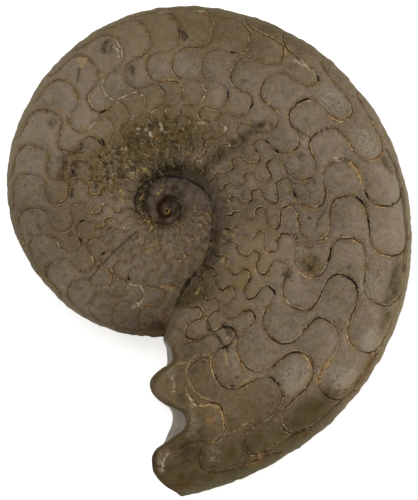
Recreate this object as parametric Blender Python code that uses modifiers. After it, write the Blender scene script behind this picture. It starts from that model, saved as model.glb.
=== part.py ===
"""A large fossil ammonite: the stone cast of a flat, disc-shaped ceratitid shell, lying on its side.

The cast formed as one stone, so it is one solid. Its whorls are wound clockwise, seen from above. The shell is
the same on both sides of its middle plane, so one half is shaped from grids and then mirrored. A grid is wound
along the coil for the flank, from the first chamber to the broken mouth. A second one closes the mouth with the
fluted wall of the last chamber. The stone lies on a crescent of its lower flank, which is worn a little flat.

Growth is counted in degrees along the coil. It is 0 where the last whorl begins, under the mouth.
"""

import math

import bmesh
import bpy
from mathutils import Vector

MM = 0.001
WHORL = 360.0
WHORLS_WOUND = 4
START_ANGLE = 260.0  # where growth is 0, counted from +X towards +Y

# Radii of the outer edge, read every 40 degrees of growth along the last whorl
VENTER_STEP = 40.0
VENTER_RADII_MM = (65.2, 70.8, 79.5, 88.3, 99.0, 106.0, 115.5, 126.2, 136.2, 146.0)
WHORL_GROWTH = VENTER_RADII_MM[-1] / VENTER_RADII_MM[0]

# Radii of the umbilical seam, where a whorl meets the one inside it: (growth in degrees, radius)
SEAM_MM = (
    (-550, 0.0), (-370, 3.0), (-280, 4.0), (-190, 5.5), (-100, 7.5), (-10, 8.5), (80, 11.5),
    (170, 17.0), (260, 22.5), (300, 27.8), (331, 37.3), (345, 47.5),
)

MOUTH = 352.0  # growth at which the cast is broken off
MOUTH_RADIUS = 143.5 * MM
MOUTH_HALF_WIDTH = 27.0 * MM
WIDTH_POWER = 0.85  # below 1, as the shell gets slimmer while it grows

# The section of a whorl, as shares of its outer radius
WIDEST_AT = 0.40
FLANK_CURVE = 2.4
VENTER_CURVE = 0.45
INNER_DROP = 0.06
UMBILICAL_WALL = 0.085
WALL_CURVE = 2.4

# The broken mouth: how far it reaches, in degrees of growth, at shares of the outer radius. The saddles
# of the last chamber wall stand forward and its lobes are notches.
MOUTH_EDGE = (
    (0.46, 352.0), (0.51, 349.0), (0.57, 353.2), (0.63, 356.0), (0.68, 352.6), (0.75, 346.4),
    (0.81, 351.2), (0.87, 353.8), (0.92, 353.4), (0.96, 351.2), (1.0, 347.6),
)
MOUTH_MIDDLE = ((0.46, 352.0), (0.55, 350.8), (0.75, 349.6), (0.87, 351.5), (1.0, 347.6))
MOUTH_BLEND = 30.0  # degrees of growth over which the grid bends to the mouth's edge
MOUTH_FLUTE = 1.8  # the flutes fade from the flank towards the middle plane as this power
EDGE_ROUNDING = (0.90, 0.985, 1.0)  # height left at the last columns, counted back from the mouth

# The grid: columns along the coil, and rows from the seam to the outer edge, closer together at both ends
FIRST_CHAMBER = -550.0
ROUND_OFF = 0.001
COARSE_STEP = 5.2
FINE_STEP = 2.5
FINE_STEPS = 10  # short steps before the mouth; the same columns are used in every whorl
ROW_COUNT = 24
ROW_CROWDING = 0.75
CAP_ROWS = (1.0, 0.82, 0.6, 0.32, 0.0)  # rows of the mouth's wall, as shares of the height of its rim
# Away from the mouth some rows share a place, and the weld makes one of them: (growth, rows that share)
ROWS_SHARED = ((FIRST_CHAMBER, 24), (-70.0, 4), (322.0, 2), (MOUTH, 1))

# The pose at rest: the middle plane leans about X, as the mouth's end of the disc is the thicker one
REST_LEAN = math.radians(-3.3)
COIL_CENTRE = (-20.7 * MM, 21.2 * MM, 22.8 * MM)  # 0.6 mm lower than the unworn stone would lie
CUTTER_SIDE = 400 * MM
WELD = 0.001 * MM

STONE_COLOUR = (0.150, 0.107, 0.065, 1.0)
STONE_ROUGHNESS = 0.55


def curve_through(knots, at):
    """The value at a place on a smooth curve through (place, value) knots, which runs level past its ends."""
    if at <= knots[0][0]:
        return knots[0][1]
    if at >= knots[-1][0]:
        return knots[-1][1]
    last = len(knots) - 1
    i = next(k for k in range(last) if at < knots[k + 1][0])
    (x0, y0), (x1, y1) = knots[i], knots[i + 1]
    before, after = knots[max(i - 1, 0)], knots[min(i + 2, last)]
    span = x1 - x0
    slope0 = (y1 - before[1]) / (x1 - before[0]) * span
    slope1 = (after[1] - y0) / (after[0] - x0) * span
    u = (at - x0) / span
    return (
        y0 * (1 + 2 * u) * (1 - u) ** 2
        + slope0 * u * (1 - u) ** 2
        + y1 * u * u * (3 - 2 * u)
        + slope1 * u * u * (u - 1)
    )


VENTER_KNOTS = [(i * VENTER_STEP, math.log(r * MM)) for i, r in enumerate(VENTER_RADII_MM)]


def venter_radius(growth):
    """Outer radius of the whorl at this growth."""
    whorls_back = max(0, math.ceil(-growth / WHORL))
    start = growth + whorls_back * WHORL
    return math.exp(curve_through(VENTER_KNOTS, start)) / WHORL_GROWTH**whorls_back


SEAM_KNOTS = [(growth, radius * MM) for growth, radius in SEAM_MM]
SEAM_KNOTS.append((MOUTH, venter_radius(MOUTH - WHORL)))


def seam_radius(growth):
    """Radius of the seam. At the mouth it has climbed over the flank to the outer edge of the whorl inside."""
    return curve_through(SEAM_KNOTS, growth)


def half_width(growth):
    """Half of the whorl's greatest width."""
    return MOUTH_HALF_WIDTH * (venter_radius(growth) / MOUTH_RADIUS) ** WIDTH_POWER


def flank_share(share):
    """Height of the flank over the middle plane, as a share of the half width, at a share of the outer radius."""
    if share <= WIDEST_AT:
        return 1 - INNER_DROP * ((WIDEST_AT - share) / WIDEST_AT) ** 2
    out = min((share - WIDEST_AT) / (1 - WIDEST_AT), 1.0)
    return (1 - out**FLANK_CURVE) ** VENTER_CURVE


def height(growth, radius):
    """Height of the whorl's surface over the middle plane. The first chamber is the same all round."""
    growth = max(growth, FIRST_CHAMBER)
    outer = venter_radius(growth)
    seam = seam_radius(growth)
    flank = half_width(growth) * flank_share(radius / outer)
    if seam <= 0:
        return flank
    foot = height(growth - WHORL, seam)
    wall = min((radius - seam) / (UMBILICAL_WALL * outer), 1.0)
    return foot + (flank - foot) * (1 - (1 - wall) ** WALL_CURVE)


def coil_point(growth, radius, z):
    """A place in the coil's own frame. The whorl grows clockwise and ends at the bottom, under the centre."""
    angle = math.radians(START_ANGLE - growth)
    return Vector((radius * math.cos(angle), radius * math.sin(angle), z))


def rays():
    """Growth of each grid column, from just inside the first chamber to the mouth, the same in each whorl."""
    fine = [MOUTH - FINE_STEP * i for i in range(FINE_STEPS)]
    rest = WHORL - FINE_STEP * FINE_STEPS
    coarse_steps = round(rest / COARSE_STEP)
    start = MOUTH - FINE_STEP * FINE_STEPS
    coarse = [start - rest / coarse_steps * i for i in range(coarse_steps)]
    one_whorl = fine + coarse
    found = [g - WHORL * w for w in range(WHORLS_WOUND) for g in one_whorl]
    return sorted(g for g in found if g >= FIRST_CHAMBER - WHORL - COARSE_STEP)


def outer_radius(growth):
    """Where the visible strip of a whorl ends: at the next whorl's seam, or at the outer edge of the last whorl."""
    if growth + WHORL <= MOUTH + ROUND_OFF:
        return seam_radius(growth + WHORL)
    return venter_radius(growth)


def row_share(growth, row):
    """Where a row of the grid runs, as a share of the way from the seam to the outer edge."""
    shared = next(rows for until, rows in ROWS_SHARED if growth <= until)
    even = row // shared * shared / ROW_COUNT
    return even - ROW_CROWDING * math.sin(2 * math.pi * even) / (2 * math.pi)


def flank_point(growth, row, columns_back):
    """A point of the flank grid. Near the mouth the columns bend to the broken edge, and its rim is rounded."""
    inner, outer = seam_radius(growth), outer_radius(growth)
    radius = inner + (outer - inner) * row_share(growth, row)
    z = height(growth, radius)
    if outer == venter_radius(growth) and row == ROW_COUNT:
        z = 0.0
    if columns_back < len(EDGE_ROUNDING) and row > 0:
        z *= EDGE_ROUNDING[columns_back]
    bend = max(0.0, 1 - (MOUTH - growth) / MOUTH_BLEND) ** 2
    share = radius / venter_radius(growth)
    turned = growth + bend * (curve_through(MOUTH_EDGE, share) - MOUTH)
    return coil_point(turned, radius, z)


def add_grid(bm, columns, rows, place):
    """Adds a grid of columns by rows points, and puts each point where place(column, row) says."""
    made = bmesh.ops.create_grid(
        bm, x_segments=columns - 1, y_segments=rows - 1, size=0.5, calc_uvs=False
    )
    for vertex in made["verts"]:
        column = round((vertex.co.x + 0.5) * (columns - 1))
        row = round((vertex.co.y + 0.5) * (rows - 1))
        vertex.co = place(column, row)


def half_cast():
    """The upper half of the stone, open along the middle plane."""
    bm = bmesh.new()
    growths = rays()
    count = len(growths)

    def on_flank(column, row):
        return flank_point(growths[column], row, count - 1 - column)

    def on_mouth(column, row):
        rim = flank_point(MOUTH, column, 0)
        radius = math.hypot(rim.x, rim.y)
        depth = CAP_ROWS[row]
        share = radius / venter_radius(MOUTH)
        middle = curve_through(MOUTH_MIDDLE, share)
        edge = curve_through(MOUTH_EDGE, share)
        return coil_point(middle + (edge - middle) * depth**MOUTH_FLUTE, radius, rim.z * depth)

    add_grid(bm, count, ROW_COUNT + 1, on_flank)
    add_grid(bm, ROW_COUNT + 1, len(CAP_ROWS), on_mouth)
    bmesh.ops.remove_doubles(bm, verts=bm.verts, dist=WELD)
    bmesh.ops.recalc_face_normals(bm, faces=bm.faces)
    if sum(face.normal.z * face.calc_area() for face in bm.faces) < 0:
        bmesh.ops.reverse_faces(bm, faces=bm.faces)
    return bm


def stone():
    """The material: brown limestone, worn smooth and a little waxy."""
    material = bpy.data.materials.new("ammonite_stone")
    material.use_nodes = True
    shader = material.node_tree.nodes["Principled BSDF"]
    shader.inputs["Base Color"].default_value = STONE_COLOUR
    shader.inputs["Roughness"].default_value = STONE_ROUGHNESS
    shader.inputs["Metallic"].default_value = 0.0
    return material


def collection(name):
    made = bpy.data.collections.new(name)
    bpy.context.scene.collection.children.link(made)
    return made


def ground_cutter(group):
    """A block whose top is the surface that the stone lies on. It wears the lowest places flat."""
    bm = bmesh.new()
    bmesh.ops.create_cube(bm, size=CUTTER_SIDE)
    bmesh.ops.translate(bm, verts=bm.verts, vec=(0, 0, -CUTTER_SIDE / 2))
    mesh = bpy.data.meshes.new("ground_cutter")
    bm.to_mesh(mesh)
    bm.free()
    block = bpy.data.objects.new("ground_cutter", mesh)
    group.objects.link(block)
    block.hide_render = True
    block.display_type = "WIRE"
    return block


def ammonite_cast(group, block):
    """The whole stone, mirrored about its middle plane and laid down on its worn places."""
    bm = half_cast()
    mesh = bpy.data.meshes.new("ammonite_cast")
    bm.to_mesh(mesh)
    bm.free()
    mesh.materials.append(stone())
    mesh.shade_smooth()
    cast = bpy.data.objects.new("ammonite_cast", mesh)
    group.objects.link(cast)
    cast.location = COIL_CENTRE
    cast.rotation_euler = (REST_LEAN, 0, 0)
    mirror = cast.modifiers.new("other side", "MIRROR")
    mirror.use_axis = (False, False, True)
    mirror.merge_threshold = 2 * WELD
    wear = cast.modifiers.new("resting face", "BOOLEAN")
    wear.operation = "DIFFERENCE"
    wear.solver = "EXACT"
    wear.object = block
    return cast


def main():
    for item in list(bpy.data.objects):
        bpy.data.objects.remove(item)
    block = ground_cutter(collection("cutters"))
    ammonite_cast(collection("fossil_ammonite"), block)


main()
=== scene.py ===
"""Looks of a large fossil ammonite: the stone cast of a flat ceratitid shell with its suture lines.

The cast is one piece and takes the CAD node's place. It repeats the node's section and coil on a fine grid,
and adds what the source leaves out: the sutures, the chambers' low swell, worn and pitted ground, and the
marl's colours. Some of these colours are painted light: sheen, reflections and shade.

Growth is counted in degrees along the coil and is 0 where the last whorl begins. A share is a radius divided
by the radius of the whorl's outer edge. Both were read off the flank as it is seen from above.
"""

import math

import bmesh
import bpy
import numpy as np
from bpy.props import FloatProperty, FloatVectorProperty, PointerProperty
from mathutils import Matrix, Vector, kdtree, noise


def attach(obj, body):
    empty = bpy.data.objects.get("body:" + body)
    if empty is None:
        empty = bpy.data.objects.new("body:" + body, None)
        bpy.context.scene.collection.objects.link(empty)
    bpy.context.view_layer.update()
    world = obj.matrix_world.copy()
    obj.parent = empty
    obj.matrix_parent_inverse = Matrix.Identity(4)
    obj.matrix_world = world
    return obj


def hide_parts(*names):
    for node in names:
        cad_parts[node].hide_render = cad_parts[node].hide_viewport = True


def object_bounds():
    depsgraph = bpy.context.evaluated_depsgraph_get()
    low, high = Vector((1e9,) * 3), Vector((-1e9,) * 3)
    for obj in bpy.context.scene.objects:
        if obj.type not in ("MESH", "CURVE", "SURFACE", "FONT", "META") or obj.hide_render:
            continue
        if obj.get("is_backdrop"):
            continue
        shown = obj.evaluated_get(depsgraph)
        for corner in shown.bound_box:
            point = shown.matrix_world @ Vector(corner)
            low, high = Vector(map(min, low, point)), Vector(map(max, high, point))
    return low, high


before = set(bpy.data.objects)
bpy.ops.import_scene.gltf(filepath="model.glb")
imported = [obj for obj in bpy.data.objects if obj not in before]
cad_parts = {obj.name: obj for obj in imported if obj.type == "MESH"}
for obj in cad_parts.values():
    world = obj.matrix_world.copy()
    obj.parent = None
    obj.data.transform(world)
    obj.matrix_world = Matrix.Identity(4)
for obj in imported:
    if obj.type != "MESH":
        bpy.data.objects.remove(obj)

bl_info = {
    "name": "Fossil ammonite cast",
    "version": (1, 0, 0),
    "blender": (4, 5, 0),
    "location": "3D View > Sidebar > Ammonite",
    "description": "Builds the stone cast of a large ceratitid ammonite and its studio",
    "category": "Object",
}

NODE = "ammonite_cast"
MM = 0.001
WHORL = 360.0
START_ANGLE = 260.0  # where growth is 0, counted from +X towards +Y

# The coil and its section, as in the source
VENTER_STEP = 40.0
VENTER_RADII_MM = (65.2, 70.8, 79.5, 88.3, 99.0, 106.0, 115.5, 126.2, 136.2, 146.0)
WHORL_GROWTH = VENTER_RADII_MM[-1] / VENTER_RADII_MM[0]
SEAM_MM = (
    (-550, 0), (-370, 3), (-280, 4), (-190, 5.5), (-100, 7.5), (-10, 8.5), (80, 11.5), (170, 17),
    (260, 22.5), (300, 27.8), (331, 37.3), (345, 47.5),
)
MOUTH = 352.0
MOUTH_RADIUS = 143.5 * MM
MOUTH_HALF_WIDTH = 27.0 * MM
WIDTH_POWER = 0.85
WIDEST_AT = 0.40
FLANK_CURVE = 2.4
VENTER_CURVE = 0.45
INNER_DROP = 0.06
UMBILICAL_WALL = 0.085
WALL_CURVE = 2.4
FIRST_CHAMBER = -550.0
MOUTH_BLEND = 30.0
MOUTH_FLUTE = 1.8
REST_LEAN = math.radians(-3.3)
COIL_CENTRE = (-20.7 * MM, 21.2 * MM, 22.8 * MM)
ROUND_OFF = 1e-9
TINY = 1e-12  # keeps a division by a length of nothing from failing
SIGHT_ROUNDS = 5  # rounds of finding the place on the flank that is seen at a place on the middle plane
POLE = 0.08 * MM  # places closer to the coil's axis than this are joined to one

# The broken mouth at the flank and at the middle plane: (share, growth)
MOUTH_EDGE = (
    (0.46, 352), (0.49, 349.2), (0.54, 348.4), (0.565, 352.4), (0.595, 355.2), (0.63, 355.6), (0.66, 353.6),
    (0.69, 349.6), (0.715, 345.8), (0.77, 345.6), (0.81, 349.4), (0.85, 353.2), (0.91, 353.3),
    (0.955, 351.2), (0.98, 348.9), (1, 347.4),
)
MOUTH_MIDDLE = (
    (0.46, 352), (0.49, 350.7), (0.54, 350.3), (0.6, 352.4), (0.65, 351.8), (0.709, 348.9), (0.754, 349),
    (0.8, 350.6), (0.85, 351.9), (0.91, 351.6), (1, 347.4),
)
EDGE_ROUNDING_MM = 2.2  # how far back from the broken edge its rim is rounded
EDGE_ROUNDING = 0.10  # how much of the height the rounding takes at the edge
EDGE_ROUNDING_SHARE = 0.03  # the width in shares over which it sets in beside the seam

# The fine grid: columns round a whorl and rows across it
COLUMNS = 960
ROWS = 104
COLUMN_GROUP = 8  # so many columns may share one place where the coil is narrow
MAIN_COLUMNS = 1408  # the fine grid's length, more than one whorl. Only grouped columns are made further in
COLUMNS_SHARED_FROM_MM = (70, 35, 18)  # radii from which no column, 2 and 4 columns share a place
ROWS_SHARED_FROM_MM = (40, 20)  # lengths of a column from which no row and 2 rows share a place
INNER_ROWS_SHARED = 4
MOUTH_ROWS = 33
SECTION_SAMPLES = 700
STEEP = (0.6, 0.95)  # rise over length where a section begins to be steep, and where it fully is
STEEP_SPACING = 0.62  # rows on the venter and the umbilical wall lie this much further apart
WELD = 1e-6
BOX_TOLERANCE = 1.5 * MM
UPPER, LOWER, UPPER_MOUTH = 0, 1, 2  # kinds of face. The mouth's lower half is one more

# Growth at each suture's tips: first saddle, first lobe, second saddle, second lobe, third saddle, third lobe
# and fourth saddle. None is a tip that isn't plain to see and follows its neighbours
TIPS = (
    (5, None, 8), (18, 5.5, 21), (30, 16.5, 33), (42, 27.5, 45), (55, 42, 58), (68,), (80,), (94,), (105.2,),
    (119.5, 109), (131.8, 119.8, 136.5), (142.8, 132.7, 147.5), (153.5, 141.5, 157.8, None, 156.5),
    (163.9, None, 168, None, 166), (173.7, None, 176.8), (184.3, None, 188.1), (196.1, None, 198.6),
    (207.3, 195, 209.7, None, 207), (219.7, 207.3, 222.8), (233.2, 221.1, 235.3, 222.7, 233, 223.5),
    (246.6, 233.2, 248.2, None, 245, None, 242.5), (259.4, 244.5, 259.8, 245.7, 257.6, None, 255.5),
    (272.2, 256.1, 272.5, 259, 271, 260, 267.5), (284.5, 269.5, 285.9, 272, 283.5, 274, 280),
    (296.7, 281, 298.2, 285, None, 286), (310, 295.1, 311.4, 297.6, 309, 298),
    (322.2, 307, 324.5, 311, None, 310.5), (332.8, 318.1, 334.3, 321.5), (343, 335, 343.9, 329),
)
INNER_SUTURES = 8  # more of them further in, at even steps
INNER_SUTURE_STEP = 12.5
VENTRAL_LOBE_LAG = ((0, -15), (200, -15), (240, -18))
VENTRAL_LOBE_SHARE = 0.992
# For each tip: its usual growth after the first saddle, and its share, both as they change along the whorl
TIP_HABIT = (
    (0,
     ((0, 0.84), (60, 0.84), (94, 0.83), (132, 0.815), (150, 0.84), (200, 0.86), (219, 0.885), (233, 0.88),
      (246, 0.895), (260, 0.895))),
    (((0, -13), (60, -13), (120, -11), (160, -12), (240, -14), (300, -15.7)),
     ((0, 0.69), (60, 0.7), (94, 0.705), (160, 0.71), (207, 0.745), (290, 0.75), (300, 0.765), (343, 0.77))),
    (((0, 3), (60, 3), (132, 4.5), (165, 4.5), (200, 2.5), (260, 0.8), (310, 3)),
     ((0, 0.55), (150, 0.555), (185, 0.57), (223, 0.59), (300, 0.6), (335, 0.6), (345, 0.62))),
    (((0, -5), (150, -5), (200, -8), (233, -10.3), (260, -13), (300, -12)),
     ((0, 0.47), (150, 0.47), (223, 0.5), (300, 0.495), (320, 0.51))),
    (((0, 2), (153, 3), (207, -0.5), (260, -1.2), (310, -1)),
     ((0, 0.38), (150, 0.395), (207, 0.44), (300, 0.43), (310, 0.45))),
    (((0, -5), (150, -6), (233, -9.5), (272, -12), (300, -11)),
     ((0, 0.32), (150, 0.33), (223, 0.375), (272, 0.385), (310, 0.39))),
    (((0, -2), (150, -2), (246, -4), (284, -4.5)), ((0, 0.26), (150, 0.27), (242, 0.325), (280, 0.34))),
    (((0, -7), (150, -7), (246, -9)), ((0, 0.2), (150, 0.215), (240, 0.28), (300, 0.285))),
    (((0, -3), (150, -3.5), (246, -5)), ((0, 0.14), (150, 0.17), (240, 0.235), (300, 0.25))),
)
# Where the line turns over between two tips, as shares of the way from one to the next: of growth, of share
TURNS = (
    (((0, 0.4), (196, 0.45), (219, 0.62), (259, 0.66), (360, 0.62)),
     ((0, 0.18), (150, 0.18), (184, 0.09), (196, 0.28), (207, 0.44), (219, 0.72), (233, 0.5), (246, 0.28),
      (259, 0.1), (300, 0.14), (321, 0.23), (332, 0.43), (343, 0.33))),
    (0.43, ((0, 0.5), (170, 0.5), (190, 0.42), (246, 0.4), (259, 0.46), (300, 0.46), (320, 0.38))),
    (0.44, ((0, 0.53), (280, 0.53), (305, 0.4), (360, 0.4))),
    (0.58, 0.64),
    (0.42, 0.55),
    (0.7, 0.6),
    (0.47, 0.45),
    (0.6, 0.6),
    (0.5, 0.5),
)
LINE_STEPS = 24  # points on each quarter turn of a suture
LINE_FULLNESS = 0.80  # below 1, the turns are fuller than ellipses
COVER_MM = 0.5  # a suture is drawn this far past the seams of its whorl
LOBE_STRENGTH = 0.45  # how plain the line is at the foot of a lobe, where a saddle's top is 1
LINE_WANDER_MM = ((9.0, 0.18), (3.0, 0.12))  # how the lines stray from their even curves: (size, how far)
FAR_FROM_LINE_MM = 6.0
ASIDE = 0.5  # with less than this share of its distance to the side, a place lies past a line's end
NOISE_STEP = (17.3, 5.1, 9.7)  # how far apart the noise of two seeds is taken

# Places on the upper flank that differ from the rest: (growth, share, half length in degrees, half width).
# Where a suture runs through ink it is black, in pale it has a cream edge, in gold a golden one, and in teeth
# its lobes are toothed. A polished chamber filling is shinier and carries a painted sheen, rough is worn
# ground, and flecks are cream crumbs
SPOTS = {
    "ink": (
        (197.3, 0.6, 1.2, 0.03), (218.7, 0.905, 1, 0.03), (192.5, 0.81, 1.2, 0.012),
        (226, 0.536, 1.6, 0.014), (232.5, 0.54, 1.4, 0.012), (239, 0.475, 2, 0.012), (265, 0.822, 3, 0.012),
        (254, 0.53, 2, 0.012), (276, 0.672, 3, 0.014), (298.2, 0.51, 1.2, 0.03), (311, 0.525, 1, 0.02),
        (323.5, 0.5, 1.8, 0.014), (327, 0.55, 1.5, 0.01), (328.5, 0.545, 0.8, 0.02), (231, 0.69, 3, 0.014),
        (215.3, 0.67, 0.8, 0.01), (136, 0.63, 2, 0.012), (116, 0.61, 1.2, 0.012), (98.5, 0.605, 2.4, 0.012),
        (88.5, 0.595, 2.4, 0.012), (106.8, 0.655, 1, 0.03), (103, 0.4, 2, 0.012), (124.5, 0.53, 1.5, 0.025),
        (153, 0.345, 2, 0.014), (309, 0.76, 1.3, 0.05), (282.5, 0.77, 2.2, 0.06), (257, 0.81, 2.5, 0.03),
        (221, 0.78, 2, 0.03), (209, 0.611, 1, 0.02), (226.9, 0.472, 0.8, 0.014), (232.6, 0.537, 1.2, 0.012),
        (256.2, 0.831, 0.8, 0.01), (259.2, 0.895, 0.7, 0.02), (60, 0.62, 2, 0.02), (45, 0.55, 2, 0.02),
        (20, 0.6, 2, 0.02), (72, 0.56, 2, 0.02), (291, 0.61, 1.5, 0.02),
    ),
    "pale": (
        (186.7, 0.58, 2.2, 0.05), (152.8, 0.86, 1.5, 0.06), (143, 0.7, 1.8, 0.07), (147, 0.622, 3.4, 0.014),
        (153.5, 0.612, 2.6, 0.014), (157, 0.575, 1, 0.03), (8, 0.74, 2.4, 0.045), (18, 0.665, 1.4, 0.02),
        (30, 0.71, 2.4, 0.05), (165, 0.415, 1.4, 0.028), (155.5, 0.4, 1.4, 0.03), (150, 0.435, 2, 0.012),
        (190.5, 0.435, 2.2, 0.014), (204.5, 0.46, 2.6, 0.012), (123, 0.78, 1.3, 0.025),
        (245, 0.75, 0.8, 0.02), (249, 0.66, 0.8, 0.014), (329, 0.59, 0.7, 0.02), (297.9, 0.58, 0.7, 0.012),
        (271.5, 0.755, 0.8, 0.012), (127, 0.62, 3, 0.012), (134.5, 0.57, 1.2, 0.03),
        (178.5, 0.97, 1.4, 0.014), (168, 0.985, 1, 0.014), (213, 0.93, 2, 0.02), (62, 0.78, 1.2, 0.03),
        (90, 0.8, 1.2, 0.03), (232, 0.6, 0.9, 0.03),
    ),
    "gold": (
        (270, 0.775, 1.7, 0.03), (272.4, 0.785, 1, 0.018), (232, 0.84, 2.6, 0.03), (180.5, 0.95, 1.6, 0.03),
        (250, 0.82, 5, 0.03), (241, 0.828, 2, 0.016), (307, 0.785, 1, 0.03), (306, 0.85, 3.2, 0.014),
        (327, 0.7, 1.6, 0.01), (340.5, 0.715, 3.8, 0.03), (334, 0.6, 1.6, 0.05), (286, 0.6, 1.5, 0.06),
        (272, 0.88, 1.6, 0.04), (247, 0.915, 1.6, 0.03), (259, 0.88, 1.2, 0.02), (207, 0.92, 1.6, 0.03),
        (134, 0.7, 1.6, 0.05), (139, 0.615, 3, 0.02), (170, 0.635, 4, 0.016), (176, 0.59, 1.5, 0.03),
        (281, 0.43, 4, 0.02), (290, 0.47, 4, 0.014), (143.5, 0.8, 1.5, 0.03), (222, 0.795, 2, 0.02),
        (325, 0.62, 1.5, 0.04), (305, 0.54, 5, 0.01), (320, 0.55, 5, 0.008), (270, 0.64, 3, 0.02),
        (335.5, 0.76, 1.5, 0.05), (246, 0.93, 1.2, 0.02), (184, 0.93, 1.6, 0.02), (168, 0.68, 2.6, 0.02),
        (258, 0.6, 3, 0.03), (296, 0.86, 1.4, 0.03), (313, 0.68, 2, 0.03), (218, 0.66, 2, 0.02),
    ),
    "rust": (
        (300.5, 0.978, 5.5, 0.012), (297.6, 0.625, 0.9, 0.022), (171.5, 0.935, 1.4, 0.014),
        (72, 0.84, 1.6, 0.014), (318, 0.975, 2, 0.01), (347.1, 0.969, 2, 0.014), (329.1, 0.964, 2, 0.016),
        (96, 0.66, 2.4, 0.012), (221.5, 0.6, 1.6, 0.014), (250.5, 0.955, 1.2, 0.01),
        (121.5, 0.745, 1.2, 0.03), (65, 0.66, 1.4, 0.02), (275, 0.58, 1.6, 0.03),
    ),
    "stain": (
        (288.5, 0.525, 2.4, 0.026), (218, 0.572, 1.7, 0.028), (149, 0.892, 2.4, 0.04),
        (279.5, 0.957, 3.2, 0.012), (40.2, 0.645, 1, 0.026), (239, 0.62, 2.2, 0.018), (155, 0.73, 1.8, 0.03),
        (89, 0.88, 0.5, 0.008), (224, 0.72, 0.5, 0.007), (278, 0.755, 0.6, 0.008),
        (254.2, 0.687, 0.5, 0.008), (118, 0.58, 2, 0.02), (61, 0.42, 1.5, 0.03), (344.6, 0.867, 3, 0.03),
        (324, 0.505, 1.4, 0.018), (327.5, 0.547, 1, 0.016), (330.2, 0.684, 0.8, 0.014),
        (337.2, 0.558, 0.5, 0.009), (324.6, 0.474, 1, 0.018), (116.4, 0.824, 2.4, 0.034),
        (201.2, 0.69, 1, 0.02), (175, 0.85, 1.6, 0.03), (334.4, 0.96, 3, 0.014), (104.5, 0.685, 2.6, 0.04),
    ),
    # Polished chamber fillings: shinier, and coloured with a painted sheen. The small ones at shares near
    # 0.96 are painted reflections along the rim
    "polish_and_painted_sheen": (
        (293, 0.93, 3, 0.045), (304.5, 0.925, 3.4, 0.05), (313, 0.78, 4.6, 0.05), (258, 0.955, 5, 0.02),
        (284, 0.96, 1.6, 0.014), (44, 0.93, 4, 0.022), (29, 0.925, 3, 0.022), (242, 0.9, 4.4, 0.05),
        (227, 0.875, 5, 0.05), (281, 0.84, 3.2, 0.05), (351.5, 0.89, 0.8, 0.03),
    ),
    "olive": (
        (338, 0.94, 26, 0.07), (316, 0.93, 7, 0.06), (281, 0.95, 9, 0.03), (248.2, 0.945, 2, 0.02),
        (345, 0.8, 6, 0.05), (281, 0.605, 4, 0.05), (155, 0.36, 48, 0.11), (344, 0.867, 3.5, 0.02),
        (335, 0.33, 20, 0.03), (332.8, 0.08, 8, 0.03), (4.4, 0.232, 5, 0.03), (346.1, 0.669, 1.6, 0.02),
    ),
    "taupe": (
        (100, 0.84, 15, 0.11), (235, 0.52, 30, 0.1), (325, 0.5, 16, 0.05), (75, 0.72, 14, 0.12),
        (290, 0.55, 20, 0.06), (75, 0.36, 26, 0.12), (295, 0.38, 20, 0.08), (178, 0.62, 22, 0.08),
        (250, 0.72, 10, 0.07), (252, 0.9, 5, 0.05), (10, 0.45, 30, 0.14), (45, 0.62, 22, 0.1),
        (270, 0.6, 40, 0.16),
    ),
    "rough": ((150, 0.35, 55, 0.115), (104, 0.62, 12, 0.05), (281, 0.605, 3.4, 0.045), (112, 0.44, 20, 0.1)),
    "flecks": (
        (118, 0.36, 17, 0.07), (120, 0.39, 8, 0.05), (264.5, 0.555, 1.6, 0.022), (150, 0.4, 20, 0.04),
        (281, 0.6, 3, 0.04), (178, 0.4, 16, 0.04), (60, 0.33, 12, 0.05), (90, 0.38, 16, 0.05),
        (325, 0.531, 3, 0.03), (200, 0.44, 10, 0.03), (-102, 0.25, 16, 0.05), (-64, 0.3, 14, 0.05),
        (-48, 0.34, 12, 0.04),
    ),
    "teeth": (
        (282, 0.77, 4.5, 0.08), (258, 0.8, 5, 0.05), (221, 0.79, 4, 0.05), (308.5, 0.76, 3, 0.07),
        (296, 0.77, 4, 0.07), (311, 0.69, 3, 0.02), (233, 0.79, 4, 0.04), (320, 0.78, 4, 0.07),
        (245, 0.79, 4, 0.05), (270, 0.77, 3, 0.06), (258, 0.5, 30, 0.08),
    ),
}
SPOT_EDGE = (1.3, 0.6)  # where a spot ends and where it is full, in its half sizes
# Wide clouds and light patches, with softer edges. The light patch at growth 254.5 on the rim is a painted
# highlight on a small node
SOFT_SPOTS = {
    "umber": (
        (346, 0.6, 16, 0.2), (340, 0.9, 26, 0.14), (330, 0.76, 12, 0.12), (70, 0.62, 34, 0.12),
        (150, 0.48, 60, 0.14), (300, 0.97, 30, 0.03), (345, 0.73, 12, 0.1), (215, 0.42, 30, 0.06),
        (300, 0.38, 40, 0.1), (315, 0.94, 8, 0.06), (180, 0.9, 30, 0.14),
    ),
    "light": (
        (33.5, 0.307, 1.6, 0.026), (25.7, 0.31, 1.2, 0.02), (33, 0.24, 1, 0.016), (339.2, 0.895, 1.6, 0.03),
        (344, 0.76, 2.2, 0.04), (349, 0.57, 2, 0.02), (-102, 0.232, 4, 0.04), (-82.5, 0.214, 3, 0.03),
        (-63.5, 0.309, 4, 0.04), (-53.4, 0.342, 3, 0.03), (-59.7, 0.255, 3, 0.03), (-64.5, 0.392, 3, 0.03),
        (118, 0.4, 7, 0.05), (126, 0.29, 5, 0.05), (203, 0.27, 6, 0.03), (-42.5, 0.289, 3, 0.03),
        (254.5, 0.965, 1.8, 0.02), (-12, 0.3, 4, 0.03), (213, 0.45, 1.2, 0.02),
    ),
    "glow": ((338.7, 0.768, 1.4, 0.028), (122, 0.805, 1.2, 0.03), (331, 0.965, 2, 0.014)),
}
SOFT_EDGE = (1.6, 0.1)
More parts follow.
